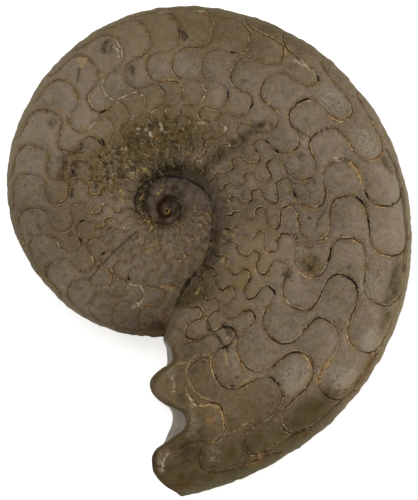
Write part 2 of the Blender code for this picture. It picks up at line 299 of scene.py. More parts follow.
# Wide parts that are lighter or darker than the rest: (growth, share, half length, half width, by how much).
# Some rows are painted light: painted highlights, with darker edges beside them, on the polished chamber
# fillings from growth 293 to 316, painted reflections and painted shade along the rim's outer edge at shares
# above 0.97, and painted shadow under the last whorl's overhang at growth -8
TONES = (
    (130, 0.8, 32, 0.26, 0.32), (250, 0.82, 32, 0.17, 0.15), (338, 0.87, 24, 0.17, -0.26),
    (346, 0.6, 12, 0.12, -0.1), (315, 0.93, 8, 0.07, -0.3), (182, 0.9, 26, 0.12, -0.03),
    (215, 0.34, 24, 0.17, -0.16), (150, 0.3, 60, 0.13, -0.06), (30, 0.72, 50, 0.28, -0.02),
    (282, 0.3, 60, 0.09, -0.2), (297, 0.9, 14, 0.1, 0.08), (314, 0.785, 5, 0.05, 0.15),
    (315.5, 0.8, 2.6, 0.02, 0.35), (268, 0.93, 12, 0.05, 0.1), (303.6, 0.945, 2.6, 0.03, 0.6),
    (309.5, 0.93, 2, 0.05, -0.25), (293.8, 0.935, 3, 0.03, 0.4), (299, 0.88, 2, 0.05, -0.12),
    (270, 0.985, 36, 0.03, 0.42), (72, 0.33, 28, 0.09, 0.26), (30, 0.3, 16, 0.09, -0.06),
    (236, 0.66, 12, 0.1, 0.05), (292, 0.38, 22, 0.1, 0.32), (335, 0.98, 26, 0.03, -0.5),
    (-8, 0.97, 8, 0.1, -0.8), (170, 0.85, 16, 0.12, 0.16), (285, 0.55, 18, 0.14, 0.1),
    (105, 0.975, 24, 0.03, 0.3), (36, 0.985, 16, 0.02, 0.35), (3, 0.98, 9, 0.03, -0.3),
    (333, 0.62, 9, 0.09, -0.15), (342, 0.53, 9, 0.05, -0.1), (326, 0.66, 10, 0.1, 0.04),
    (3, 0.93, 12, 0.14, -0.28), (33, 0.95, 10, 0.07, 0.14), (75, 0.97, 14, 0.05, -0.06),
    (100, 0.93, 16, 0.13, 0.24), (203, 0.975, 12, 0.035, -0.35), (250, 0.95, 10, 0.05, 0.1),
    (297, 0.975, 10, 0.03, -0.06), (342.7, 0.777, 2, 0.035, 0.25), (335, 0.735, 3, 0.04, 0.18),
    (351, 0.87, 2, 0.04, 0.18),
)
TONE_EDGE = (1.5, 0.2)
# Strokes from place to place: half width and softness in mm, then (growth, share). A thread is golden
# calcite, and a crust is ochre. The first smear is a soft brown stain, the second painted shade beside the
# umbilicus' seam. The black ones along the umbilicus' seam are painted shade in its crease, the others are
# crumbs and short cracks on the flank
STROKES = {
    "crack": (
        (0.15, 0.6, (226, 0.66), (230, 0.675), (234, 0.7)),
        (0.12, 0.5, (37.5, 0.76), (39.5, 0.62), (41.5, 0.46), (43.5, 0.27)),
        (0.3, 0.6, (327.4, 0.66), (328.2, 0.662)), (0.2, 0.5, (137.8, 0.886), (135.8, 0.86), (134.1, 0.842)),
        (0.15, 0.5, (261.5, 0.645), (264, 0.62), (268.5, 0.605)), (0.3, 0.6, (263.5, 0.57), (264.3, 0.585)),
        (0.25, 0.5, (340.6, 0.839), (342.4, 0.828), (345, 0.825), (346.6, 0.835), (347.5, 0.842)),
        (0.25, 0.5, (330.6, 0.432), (331, 0.455), (329.6, 0.48), (328.4, 0.505), (328.4, 0.53),
         (327.5, 0.547)),
        (0.15, 0.5, (333.1, 0.477), (336.9, 0.484), (339.1, 0.483), (343, 0.484)),
        (0.2, 0.5, (325.4, 0.472), (323.3, 0.48), (322.1, 0.502), (321.6, 0.524), (322, 0.54)),
        (0.25, 0.6, (245, 0.966), (250, 0.977), (258, 0.976), (266, 0.977), (275, 0.974)),
        (0.25, 0.5, (173.2, 0.875), (175.3, 0.864), (176.5, 0.843), (175.6, 0.827)),
        (0.2, 0.5, (332, 0.874), (331.7, 0.918), (330.1, 0.953)),
        (0.25, 0.6, (353.1, 0.91), (353.1, 0.865), (352.5, 0.835), (350.3, 0.815)),
    ),
    "thread": (
        (0.1, 0.45, (347.2, 0.545), (344.8, 0.547), (342.4, 0.551), (340.8, 0.539), (338.1, 0.532),
         (333.5, 0.55)),
        (0.12, 0.5, (342.6, 0.704), (340.3, 0.706), (338.1, 0.712), (336.2, 0.732), (335.3, 0.76),
         (335.1, 0.785)),
        (0.08, 0.45, (342.4, 0.551), (343.7, 0.574), (343.6, 0.606), (342, 0.651), (340, 0.68),
         (337.5, 0.7)),
        (0.05, 0.45, (339.1, 0.846), (337.2, 0.826), (334, 0.833), (331.9, 0.831), (329.5, 0.822),
         (328.1, 0.822)),
        (0.15, 0.5, (328.4, 0.555), (328.8, 0.578), (329.3, 0.605)),
        (0.12, 0.45, (328.4, 0.695), (326, 0.69), (324.2, 0.689), (322.5, 0.691)),
        (0.2, 0.5, (307.3, 0.755), (307.7, 0.782), (308.6, 0.802), (310.5, 0.815)),
        (0.45, 0.6, (302, 0.84), (305.6, 0.844), (308, 0.851), (309.3, 0.862)),
        (0.3, 0.5, (307.2, 0.745), (307.4, 0.756), (307.8, 0.788), (309.4, 0.807)),
        (0.3, 0.5, (245.9, 0.802), (248, 0.811), (249.4, 0.822), (251, 0.823), (252.6, 0.823)),
        (0.35, 0.5, (213, 0.673), (213.9, 0.664)), (1.1, 0.5, (139.3, 0.916), (140.6, 0.902)),
        (0.8, 0.5, (139.8, 0.905), (138.6, 0.884)),
        (0.25, 0.5, (355.5, 0.271), (351.8, 0.275), (348.1, 0.277), (344.8, 0.294)),
    ),
    "cream": (
        (0.1, 0.5, (348.9, 0.588), (347.9, 0.621), (348.4, 0.642)),
        (0.1, 0.5, (344.1, 0.659), (342.8, 0.685), (342.8, 0.708)),
        (0.1, 0.6, (351.4, 0.912), (351.2, 0.881), (350, 0.851)),
        (0.15, 0.5, (16.5, 0.632), (8.9, 0.623), (5.8, 0.664), (5.4, 0.711), (7, 0.771), (9.9, 0.796)),
        (0.15, 0.5, (210, 0.895), (213.5, 0.905), (216.5, 0.912), (218.5, 0.905)),
        (0.3, 0.4, (243.2, 0.747), (243.7, 0.756)), (0.25, 0.5, (205.5, 0.462), (206.4, 0.455)),
        (0.25, 0.5, (214.3, 0.404), (214.9, 0.397)), (0.15, 0.4, (231.9, 0.65), (235.1, 0.661)),
        (0.25, 0.5, (163.8, 0.435), (165.7, 0.41), (164.6, 0.39)),
        (0.2, 0.5, (148.6, 0.44), (152.2, 0.429), (156.8, 0.4), (156.5, 0.379)),
        (0.2, 0.5, (189.1, 0.411), (189.5, 0.434), (192.7, 0.441)),
        (0.15, 0.5, (151, 0.885), (152.6, 0.85), (152, 0.815)),
        (0.15, 0.5, (103.5, 0.4), (105, 0.385), (104, 0.37)),
        (0.15, 0.5, (132, 0.41), (133.5, 0.395), (135.5, 0.4)),
    ),
    "rust": (
        (0.9, 0.9, (307.5, 0.935), (306.5, 0.949), (305, 0.966), (302.5, 0.97), (300.8, 0.972)),
        (0.4, 0.6, (300.8, 0.974), (297.6, 0.966), (296.4, 0.966), (295.9, 0.953)),
        (0.5, 0.9, (108.8, 0.717), (108.1, 0.691), (108.7, 0.657), (111.2, 0.624), (113.2, 0.611)),
        (0.9, 0.9, (103.6, 0.658), (99.5, 0.672), (95.4, 0.683)), (0.7, 0.8, (105.6, 0.62), (104.3, 0.596)),
    ),
    "smear_and_seam_shade": (
        (1.2, 3, (217.8, 0.55), (217.7, 0.52), (215.2, 0.39), (212.3, 0.24)),
        # Painted shade beside the last whorl's umbilical seam
        (0.8, 2, (281.5, 0.209), (299, 0.225), (315, 0.262), (332, 0.3)),
    ),
    "black": (
        # The first three strokes are painted shade in the crease of the umbilicus' seam, darkest where the
        # last whorl overhangs near the mouth
        (0.25, 0.7, (65, 0.183), (76.2, 0.203), (93.7, 0.206), (112.2, 0.197), (126.8, 0.185),
         (147.4, 0.172), (174.6, 0.157), (195.9, 0.16), (209.9, 0.165), (227.3, 0.175), (245.3, 0.186)),
        (0.1, 0.5, (245.3, 0.186), (264, 0.186), (294, 0.201), (315, 0.239), (332, 0.265), (345.6, 0.347)),
        (0.4, 1, (333, 0.266), (341, 0.305)), (0.5, 0.4, (330.4, 0.69), (330, 0.681)),
        (0.5, 0.5, (116.4, 0.607), (114.5, 0.609)), (0.5, 0.5, (126.1, 0.529), (124.3, 0.5)),
        (0.5, 0.5, (101.3, 0.606), (97.3, 0.617)), (0.5, 0.5, (91, 0.594), (86.8, 0.603)),
        (0.4, 0.5, (105.6, 0.395), (101.7, 0.401)), (0.4, 0.5, (119.4, 0.411), (116.9, 0.414)),
        (0.4, 0.4, (327.4, 0.544), (327, 0.552)), (0.4, 0.5, (324.9, 0.471), (323.6, 0.49)),
    ),
    "crust": (
        (0.9, 0.5, (100.7, 0.298), (99, 0.285)), (0.7, 0.6, (90, 0.29), (88, 0.275)),
        (0.7, 0.7, (46, 0.115), (44, 0.122)), (0.7, 0.7, (46, 0.165), (45, 0.17)),
        (0.7, 0.7, (32, 0.158), (30, 0.182)), (0.5, 0.6, (315, 0.056), (318, 0.05)),
        (0.7, 0.7, (12.4, 0.288), (13.8, 0.356)), (0.4, 0.6, (108.7, 0.172), (96.7, 0.169)),
        (0.5, 0.6, (139.3, 0.1), (155.4, 0.112)), (0.5, 0.6, (139.4, 0.239), (140.3, 0.18)),
        (0.4, 0.6, (137.8, 0.25), (122.9, 0.276)), (0.1, 0.5, (259, 0.246), (246.6, 0.278)),
        (0.1, 0.5, (271, 0.261), (285.7, 0.285)), (0.1, 0.5, (296.4, 0.283), (305.3, 0.286)),
        (0.4, 0.5, (299.5, 0.213), (301, 0.216)), (0.4, 0.6, (324, 0.276), (320.7, 0.278)),
        (0.4, 0.5, (283, 0.245), (284, 0.25)), (0.2, 0.5, (327.8, 0.306), (332.1, 0.326)),
    ),
}
# Low places and high places of the upper flank: (growth, share, half length, half width, height in mm)
FORMS = (
    (288.5, 0.525, 2.4, 0.03, -0.35), (148, 0.9, 3.2, 0.05, -0.45), (279.5, 0.957, 3.4, 0.018, -0.7),
    (26, 0.93, 5, 0.045, -0.7), (43, 0.925, 6, 0.05, -0.8), (36, 0.965, 5, 0.03, -0.5),
    (254, 0.97, 1.4, 0.013, 0.5), (267.5, 0.965, 1.4, 0.014, 0.5), (254, 0.97, 0.6, 0.006, -0.5),
    (267.5, 0.965, 0.6, 0.006, -0.5), (293, 0.92, 5, 0.07, 0.8), (304.5, 0.92, 5, 0.07, 0.9),
    (313, 0.775, 6.5, 0.07, 0.8), (281, 0.605, 4, 0.05, -0.35), (317, 0.91, 5, 0.06, -0.3),
    (105, 0.62, 6, 0.035, -0.5), (338, 0.93, 6, 0.06, -0.4), (347, 0.6, 5, 0.05, -0.5),
    (349, 0.9, 3.5, 0.05, -0.6), (324, 0.505, 1.5, 0.02, -0.4), (238, 0.8, 5, 0.04, 0.25),
    (72, 0.75, 16, 0.12, -0.4), (184, 0.75, 14, 0.08, 0.3),
)
FORM_EDGE = (1.2, 0.1)

# Where deposits and marks begin and where they are full, by distance in mm, share or growth
BROKEN_RIM_MM = (4.4, 1.4)  # back from the broken edge
BROKEN_RIM_FAR_MM = 20  # places further off belong to another part of the coil
RIM_FROM = 0.9  # the share from which the outer rim is coloured by its place
RIM = (0.972, 0.998)  # the chipped rim, by share
WORN_BELOW = (0.15, 0.7)  # worn ground of the lower flank, in the noise of patches
WORN_BELOW_FROM = 0.2  # the share inside which it has none
WALL_SHARE = (0.12, 0.02)  # the deposit on the umbilical wall, in shares out from its seam
# How dark the umbilical wall and the first whorls are, by growth. The wall's dark is painted shade
DUSK_OF_WALL = (
    (0, 0.3), (60, 0.7), (120, 0.9), (190, 0.9), (230, 0.5), (300, 0.35), (325, 0.15), (352, 0.25),
)
DUSK_OF_FIRST_WHORLS = (
    (-550, 0.9), (-280, 0.9), (-190, 0.8), (-140, 0.62), (-90, 0.36), (-50, 0.18), (-10, 0),
)
# Painted shade in the crease beside the first whorls' outer seam
SEAM_DUSK = 0.95  # how dark the strip beside the first whorls' outer seam is
SEAM_DUSK_MM = (3.0, 0.4)
SEAM_DUSK_GROWTH = (-90, -190)
GROOVE_GROWTH = (-120, -210)  # the orange-brown deposit in the first whorls' seams
GROOVE_MM = (2.0, 0.5)
GROOVE_ENDS_MM = (1.6, 2.6)  # by radius
FUNNEL_MM = (4.0, 2.8)  # the dark of the innermost whorl, by radius
FIRST_CHAMBER_OFF = (-0.5 * MM, -1.7 * MM)  # how far the first chamber lies off the coil's axis
OFF_TILL_MM = (12.0, 3.0)  # the radii where that shift ends and where it is full
RING_MM = (2.0, 1.0)  # the golden ring round the first chamber
HOLLOW_MM = (1.0, 0.5)  # the dark hollow inside it

# How plain the sutures are
YOUNG_LINE = 0.5  # on the young shell, up to these growths
YOUNG_TILL = (-20, 70)
BOLDNESS = ((60, 0.85), (130, 0.75), (180, 0.85), (230, 1), (270, 1.25), (310, 1.5), (350, 1.2))
RIM_MUTES = 0.55  # how much weaker they are at the rim, and the shares where that begins and is full
MUTED_AT_RIM = (0.97, 0.995)
# Spots where the last ones are nearly gone
MUTED = ((343.7, 0.625, 1, 0.04), (343.1, 0.665, 1, 0.025))
LINE_FADES_MM = (3.4, 2.4)  # from there on a line has no strength, so that no border between two lines shows

# The relief. Its noise comes in four sizes: long waves, ripples, grit and patches
RELIEF_NOISE_MM = (45, 9, 3.2, 22)
SWELL_MM = (0.0, 5.0)  # a chamber swells from its suture up to this far from it
PIT_MM = 2.2  # the size of the pits' noise, and where in it they begin and are full
PITS = (0.45, 0.80)
PIT_DEPTH_MM = 0.45
STROKE_HEIGHTS_MM = {"crack": -0.20, "thread": 0.10, "smear_and_seam_shade": -0.45, "black": -0.35}
INNER_CALM = 0.75  # how much lower the relief of the first whorls is, and from which growth
INNER_GROWTH = (-4, -60)
CHIP_MM = 8.0  # the size of the rim's chips, and where in their noise they begin and are full
CHIPS = (0.45, 0.9)
RIM_CALM = 0.70  # how much of the flank's relief the rim lacks
MOUTH_RELIEF_MM = (0.25, 7)  # height and size of the waves on the wall in the mouth

# The map that the colours are baked on, in pixels a side, and its scale on the upper and the lower flank
MAP_SIDE = 1024.0
MAP_SCALES = (2.35, 1.80)
MAP_MARGIN = 0.006
MAP_VENTER = (0.72, 0.92)  # the shares over which the venter is unrolled beyond the flank
MAP_VENTER_HEIGHT = 0.87  # how much of the half width it is unrolled by

# The marl's shine and bump, the paper, and how far the camera sees
MARL_IOR = 1.5
MARL_SPECULAR = 0.10
BUMP_MM = 0.40
BUMP_STRENGTH = 0.8
PAPER_ROUGHNESS = 0.9
CLIP_END = 20.0

# The studio. The camera looks straight down and sees half a millimetre in each pixel at the middle plane
CAMERA_DISTANCE = 2.4
IMAGE_HEIGHT_PX = 500
MM_PER_PIXEL = 0.5
SENSOR_MM = 24.0
CAMERA_AT = (-0.25 * MM, 0.25 * MM)
# The softboxes: place, what they face, and their side, in metres
OVERHEAD = ((-0.5, 0.6, 1.9), (0, 0, 0), 1.4)
SIDE = ((1.6, -0.3, 0.70), (0, 0, 0.02), 0.9)


def linear(code):
    """An sRGB colour written as hex, turned into linear light."""
    shares = [int(code[i : i + 2], 16) / 255 for i in (0, 2, 4)]
    return tuple(s / 12.92 if s <= 0.04045 else ((s + 0.055) / 1.055) ** 2.4 for s in shares)


def colour(name, code, description):
    return FloatVectorProperty(
        name=name, description=description, subtype="COLOR", size=3, min=0.0, max=1.0, default=linear(code)
    )


def millimetres(name, size_mm, description):
    return FloatProperty(name=name, description=description, default=size_mm * MM, unit="LENGTH")


class CastForm(bpy.types.PropertyGroup):
    """Sizes of the relief on the stone."""

    groove_depth: millimetres("Suture depth", 0.26, "Depth of the groove along a suture")
    groove_width: millimetres("Suture width", 0.75, "Half width of the groove along a suture")
    chamber_swell: millimetres("Chamber swell", 0.60, "Height of a chamber's middle over its sutures")
    wave: millimetres("Long waves", 0.40, "Height of the flank's long, low waves")
    ripple: millimetres("Ripples", 0.15, "Height of the short ripples")
    roughness: millimetres("Worn ground", 0.42, "Depth of the worn and pitted ground")


class StoneColours(bpy.types.PropertyGroup):
    """Colours of the marl and of what grew in it."""

    marl: colour("Marl", "8B7B64", "The stone's lighter grains")
    marl_dark: colour("Darker marl", "4A3B27", "The stone's darker grains")
    marl_olive: colour("Olive marl", "84744C", "Clouds with a breath of green")
    taupe: colour("Taupe", "88766E", "Clouds with a breath of purple")
    umber: colour("Umber", "7A6540", "Warm brown clouds")
    halo: colour("Beside a suture", "5C472B", "Brown that has soaked in beside a suture")
    lilac: colour("Inside a chamber", "8A7A6A", "The greyer marl inside a chamber")
    line: colour("Suture", "2E1F0D", "The dark line of a suture")
    # Also painted shade in the crease of the umbilicus' seam
    ink: colour("Ink", "110A05", "Black-brown crusts")
    orange: colour("Orange brown", "6E4C2A", "Iron stains round calcite")
    gold: colour("Gold", "A6895C", "Iron-stained calcite beside a suture")
    tan: colour("Tan", "93836A", "The thin light edge inside a saddle")
    cream: colour("Cream", "C6B999", "Clean calcite")
    olive: colour("Olive", "463B1C", "The greenish rim and the last chambers")
    # The rim's brown band and olive crust are partly painted shade, where the venter turns away from the
    # light
    rim_brown: colour("Brown rim", "6A5A3A", "The rim's brown band")
    rim_olive: colour("Olive rim", "68634B", "The rim's greenish crust")
    ochre: colour("Ochre", "6A5630", "Yellow-brown ground where the surface is worn through")
    rough_dark: colour("Worn ground", "3C301C", "Dark hollows of the worn ground")
    rust: colour("Rust", "52341A", "Rust")
    glow: colour("Orange clouds", "8A6538", "Iron-stained clouds round calcite")
    # Also painted shade beside the umbilicus' seam and in the pits
    stain: colour("Stain", "382A1C", "Dark brown stains and holes")
    # Painted sheen on the polished chamber fillings, and the colour of the pale grey patches
    sheen: colour("Silver grey", "8C8472", "Polished chamber fillings")
    # The septum's light grey is partly a painted reflection of the white floor
    septum: colour("Septum", "837B6E", "The smooth wall of the last chamber")
    brim: colour("Broken rim", "504024", "Brown crust along the broken rim")
    # Painted shade on the umbilical wall and beside the first whorls' seam, with brown deposit in it
    wall_shade_and_deposit: colour("Umbilicus", "2A2210", "Brown deposits in the umbilicus")
    plum: colour("First whorls", "33251C", "Purple-brown of the first whorls")
    ring: colour("Ring", "A8783A", "The golden ring round the first chamber")
    groove: colour("Groove", "2E170A", "Orange-brown deposits in the seams of the first whorls")
    crust: colour("Crust", "9B8452", "Ochre crusts in the umbilicus")


class Studio(bpy.types.PropertyGroup):
    """The floor and the lights."""

    floor_side: FloatProperty(name="Floor side", description="Side of the floor", default=6.0, unit="LENGTH")
    floor_white: colour("Floor", "EEEEEC", "The floor's colour")
    floor_glow: FloatProperty(name="Floor glow", description="Light from under the paper", default=0.60)
    overhead: FloatProperty(
        name="Overhead", description="Power of the overhead softbox", default=18.5, unit="POWER"
    )
    side: FloatProperty(name="Side", description="Power of the side softbox", default=16.0, unit="POWER")
    surround: FloatProperty(name="Surround", description="Strength of the light from all round", default=0.35)


def corners(bounds):
    return [list(corner) for corner in bounds]


def smooth(low, high, value):
    """0 at low, 1 at high and a soft slope between them. High may be the lower one."""
    share = np.clip((value - low) / (high - low), 0.0, 1.0)
    return share * share * (3 - 2 * share)


def curve_through(knots, at):
    """Values on a smooth curve through (place, value) knots, which runs level past its ends.

    A single number stands for a level curve.
    """
    if np.isscalar(knots):
        knots = ((0, knots), (WHORL, knots))
    x, y = np.array(knots, float).T
    slope = np.empty_like(y)
    slope[1:-1] = (y[2:] - y[:-2]) / (x[2:] - x[:-2])
    slope[0] = (y[1] - y[0]) / (x[1] - x[0])
    slope[-1] = (y[-1] - y[-2]) / (x[-1] - x[-2])
    at = np.clip(at, x[0], x[-1])
    i = np.clip(np.searchsorted(x, at, side="right") - 1, 0, len(x) - 2)
    span = x[i + 1] - x[i]
    u = (at - x[i]) / span
    return (
        y[i] * (1 + 2 * u) * (1 - u) ** 2
        + slope[i] * span * u * (1 - u) ** 2
        + y[i + 1] * u * u * (3 - 2 * u)
        + slope[i + 1] * span * u * u * (u - 1)
    )


VENTER_KNOTS = [(i * VENTER_STEP, math.log(r * MM)) for i, r in enumerate(VENTER_RADII_MM)]


def venter_radius(growth):
    back = np.maximum(0, np.ceil(-np.asarray(growth, float) / WHORL))
    return np.exp(curve_through(VENTER_KNOTS, growth + back * WHORL)) / WHORL_GROWTH**back


SEAM_KNOTS = [(growth, radius * MM) for growth, radius in SEAM_MM]
SEAM_KNOTS.append((MOUTH, float(venter_radius(MOUTH - WHORL))))


def seam_radius(growth):
    return curve_through(SEAM_KNOTS, growth)


def outer_radius(growth):
    """Where the visible strip of a whorl ends: at the next whorl's seam or at the last whorl's outer edge."""
    covered = growth + WHORL <= MOUTH + ROUND_OFF
    return np.where(covered, seam_radius(growth + WHORL), venter_radius(growth))


def flank_share(share):
    inner = 1 - INNER_DROP * (np.maximum(WIDEST_AT - share, 0) / WIDEST_AT) ** 2
    out = np.clip((share - WIDEST_AT) / (1 - WIDEST_AT), 0.0, 1.0)
    return np.where(share <= WIDEST_AT, inner, (1 - out**FLANK_CURVE) ** VENTER_CURVE)


def half_width(outer):
    return MOUTH_HALF_WIDTH * (outer / MOUTH_RADIUS) ** WIDTH_POWER


def height(growth, radius):
    """Height of the whorl's surface over the middle plane. The first chamber is the same all round."""
    growth = np.maximum(growth, FIRST_CHAMBER)
    outer = venter_radius(growth)
    seam = seam_radius(growth)
    flank = half_width(outer) * flank_share(radius / outer)
    if np.all(seam <= 0):
        return flank
    foot = height(growth - WHORL, seam)
    wall = np.clip((radius - seam) / (UMBILICAL_WALL * outer), 0.0, 1.0)
    return np.where(seam <= 0, flank, foot + (flank - foot) * (1 - (1 - wall) ** WALL_CURVE))


def on_coil(growth, radius, z):
    """Places in the coil's own frame, one to a line."""
    angle = np.radians(START_ANGLE - growth)
    return np.stack(np.broadcast_arrays(radius * np.cos(angle), radius * np.sin(angle), z), axis=-1)


def in_room(points):
    """The coil's own places, leant and moved to where the stone rests."""
    lean_cos, lean_sin = math.cos(REST_LEAN), math.sin(REST_LEAN)
    x, y, z = points.T
    return np.stack((x, y * lean_cos - z * lean_sin, y * lean_sin + z * lean_cos), axis=-1) + COIL_CENTRE


def seen_at(points):
    """Where the coil's own places are seen from above on its middle plane: x and y from the coil's centre."""
    room = in_room(points)
    scale = CAMERA_DISTANCE / (CAMERA_DISTANCE + COIL_CENTRE[2] - room[:, 2:])
    return (room[:, :2] - CAMERA_AT) * scale + CAMERA_AT - COIL_CENTRE[:2]


def growth_at(places, growth):
    """Growth at places on the middle plane, on the whorl where it comes closest to the growth given."""
    turned = START_ANGLE - np.degrees(np.arctan2(places[:, 1], places[:, 0]))
    return turned + WHORL * np.round((growth - turned) / WHORL)


def flank_under(seen, growth):
    """Places on the even upper flank that are seen at these places. Growth says which whorl they are on."""
    point = np.column_stack((seen, np.zeros(len(seen))))
    for _ in range(SIGHT_ROUNDS):
        point[:, :2] += seen - seen_at(point)
        radius = np.hypot(point[:, 0], point[:, 1])
        turned = growth_at(point, growth)
        point[:, 2] = height(turned, np.minimum(radius, venter_radius(turned)))
    return point


def section(growths):
    """Radius and height of each row in each column, in even steps that are wider where it is steep."""
    even = (1 - np.cos(np.linspace(0, math.pi, SECTION_SAMPLES))) / 2
    inner, outer = seam_radius(growths)[:, None], outer_radius(growths)[:, None]
    radius = inner + (outer - inner) * even
    z = height(growths[:, None], radius)
    at_venter = np.abs(outer - venter_radius(growths)[:, None]) < ROUND_OFF
    z[:, -1:] = np.where(at_venter, 0.0, z[:, -1:])
    across, up = np.diff(radius, axis=1), np.abs(np.diff(z, axis=1))
    length = np.hypot(across, up)
    cost = length * (1 - STEEP_SPACING * smooth(*STEEP, up / np.maximum(length, TINY)))
    total = np.concatenate((np.zeros((len(growths), 1)), np.cumsum(cost, axis=1)), axis=1)
    rows = np.linspace(0, 1, ROWS + 1)
    places = np.empty((2, len(growths), ROWS + 1))
    for i in range(len(growths)):
        at = total[i] / max(total[i, -1], ROUND_OFF)
        places[0, i] = np.interp(rows, at, radius[i])
        places[1, i] = np.interp(rows, at, z[i])
    return places[0], places[1], total[:, -1]


def shared_columns(radius):
    """How many columns share one place at this radius, so that the faces stay about as long as wide."""
    radius = np.round(radius, 7)
    wider_than = [radius > limit * MM for limit in COLUMNS_SHARED_FROM_MM]
    return np.select(wider_than, (1, 2, 4), COLUMN_GROUP)


def flank_grid(first, last, step, side):
    """Where a flank grid's columns and rows lie. Columns count back from the mouth. Lower is side -1."""
    numbers = np.arange(first, last + 1, step)
    growths = MOUTH - numbers * (WHORL / COLUMNS)
    radius, z, length = section(growths)
    group = np.arange(len(numbers)) // (COLUMN_GROUP // step) * (COLUMN_GROUP // step)
    coarse = 1 if side > 0 else 2
    longer_than = [length > limit * MM for limit in ROWS_SHARED_FROM_MM]
    row_share = (np.select(longer_than, (1, 2), INNER_ROWS_SHARED) * coarse)[group]
    rows = np.arange(ROWS + 1)[None, :]
    rows = rows - rows % row_share[:, None]
    at_group = radius[group[:, None], rows]
    column_share = shared_columns(at_group)
    on_venter = (rows == ROWS) & (growths >= MOUTH - WHORL - ROUND_OFF)[:, None]
    column_share = np.where(on_venter, column_share, np.minimum(column_share * coarse, COLUMN_GROUP))
    columns = np.arange(len(numbers))[:, None]
    columns = columns - columns % np.maximum(column_share // step, 1)
    growth = growths[columns]
    radius, z = radius[columns, rows], z[columns, rows]
    at_pole = radius < POLE
    z = np.where(at_pole, height(np.array([FIRST_CHAMBER]), np.zeros(1)), z)
    radius = np.where(at_pole, 0.0, radius)
    share = radius / venter_radius(growth)
    bend = np.maximum(0.0, 1 - (MOUTH - growth) / MOUTH_BLEND) ** 2
    growth = growth + bend * (curve_through(MOUTH_EDGE, share) - MOUTH)
    return growth, radius, z, share


def read_items(items, name, width=1, number=float):
    """What a mesh's items hold under this name."""
    values = np.empty(len(items) * width, np.float32 if number is float else number)
    items.foreach_get(name, values)
    return (values.reshape(-1, width) if width > 1 else values).astype(number)


def add_grid(bm, growth, radius, z, kind):
    """Adds a grid and puts its points where the tables say. Growth and radius are kept with each point, and
    the kind of surface with each face.
    """
    columns, rows = growth.shape
    grid = bmesh.new()
    bmesh.ops.create_grid(grid, x_segments=columns - 1, y_segments=rows - 1, size=0.5, calc_uvs=False)
    mesh = bpy.data.meshes.new("grid")
    grid.to_mesh(mesh)
    grid.free()
    flat = read_items(mesh.vertices, "co", 3)
    column = np.rint((flat[:, 0] + 0.5) * (columns - 1)).astype(int)
    row = np.rint((flat[:, 1] + 0.5) * (rows - 1)).astype(int)
    growth, radius, z = growth[column, row], radius[column, row], z[column, row]
    mesh.vertices.foreach_set("co", on_coil(growth, radius, z).ravel())
    for name, values in (("growth", growth), ("radius", radius)):
        mesh.attributes.new(name, "FLOAT", "POINT").data.foreach_set("value", values.astype(np.float32))
    kinds = np.full(len(mesh.polygons), kind, np.int32)
    mesh.attributes.new("kind", "INT", "FACE").data.foreach_set("value", kinds)
    bm.from_mesh(mesh)
    bpy.data.meshes.remove(mesh)


def even_cast():
    """The whole stone without its relief, as one closed mesh in the coil's own frame."""
    bm = bmesh.new()
    main_end = MOUTH - MAIN_COLUMNS * WHORL / COLUMNS
    groups = math.ceil((main_end - FIRST_CHAMBER + WHORL) / (COLUMN_GROUP * WHORL / COLUMNS)) + 1
    inner_end = MAIN_COLUMNS + groups * COLUMN_GROUP
    for side, kind in ((1, UPPER), (-1, LOWER)):
        growth, radius, z, share = flank_grid(0, MAIN_COLUMNS, 1, side)
        back = on_coil(growth, radius, 0) - on_coil(growth[:1], radius[:1], 0)
        back = np.hypot(back[..., 0], back[..., 1])
        rounding = EDGE_ROUNDING * (1 - smooth(0.0, EDGE_ROUNDING_MM * MM, back))
        rounding = rounding * (growth > MOUTH - MOUTH_BLEND)
        z = z * (1 - rounding * smooth(0.0, EDGE_ROUNDING_SHARE, share - share[:, :1]))
        add_grid(bm, growth, radius, z * side, kind)
        inner = flank_grid(MAIN_COLUMNS, inner_end, COLUMN_GROUP, side)
        add_grid(bm, inner[0], inner[1], inner[2] * side, kind)
        # The lower half of the mouth has half as many rows
        depth = np.linspace(1, 0, MOUTH_ROWS if side > 0 else (MOUTH_ROWS + 1) // 2)
        depth = np.sin(depth * math.pi / 2)[None, :]
        middle = curve_through(MOUTH_MIDDLE, share[0])[:, None]
        edge = curve_through(MOUTH_EDGE, share[0])[:, None]
        wall = middle + (edge - middle) * depth**MOUTH_FLUTE
        wall = np.where(depth >= 1, growth[0][:, None], wall)
        reach = np.repeat(radius[0][:, None], depth.shape[1], 1)
        if side > 0:
            middle_row = wall[:, -1], reach[:, -1]
        wall[:, -1], reach[:, -1] = middle_row
        add_grid(bm, wall, reach, z[0][:, None] * depth * side, UPPER_MOUTH + kind)
    bmesh.ops.remove_doubles(bm, verts=bm.verts, dist=WELD)
    bmesh.ops.dissolve_degenerate(bm, dist=WELD, edges=bm.edges)
    bmesh.ops.recalc_face_normals(bm, faces=bm.faces)
    if bm.calc_volume(signed=True) < 0:
        bmesh.ops.reverse_faces(bm, faces=bm.faces)
    return bm


def noise_field(points, size_mm, seed):
    """Smooth noise from about -1 to 1 at each place, with bumps of this size."""
    places = points / (size_mm * MM) + np.array(NOISE_STEP) * seed
    return 2 * np.array([noise.noise(p) for p in places.tolist()])


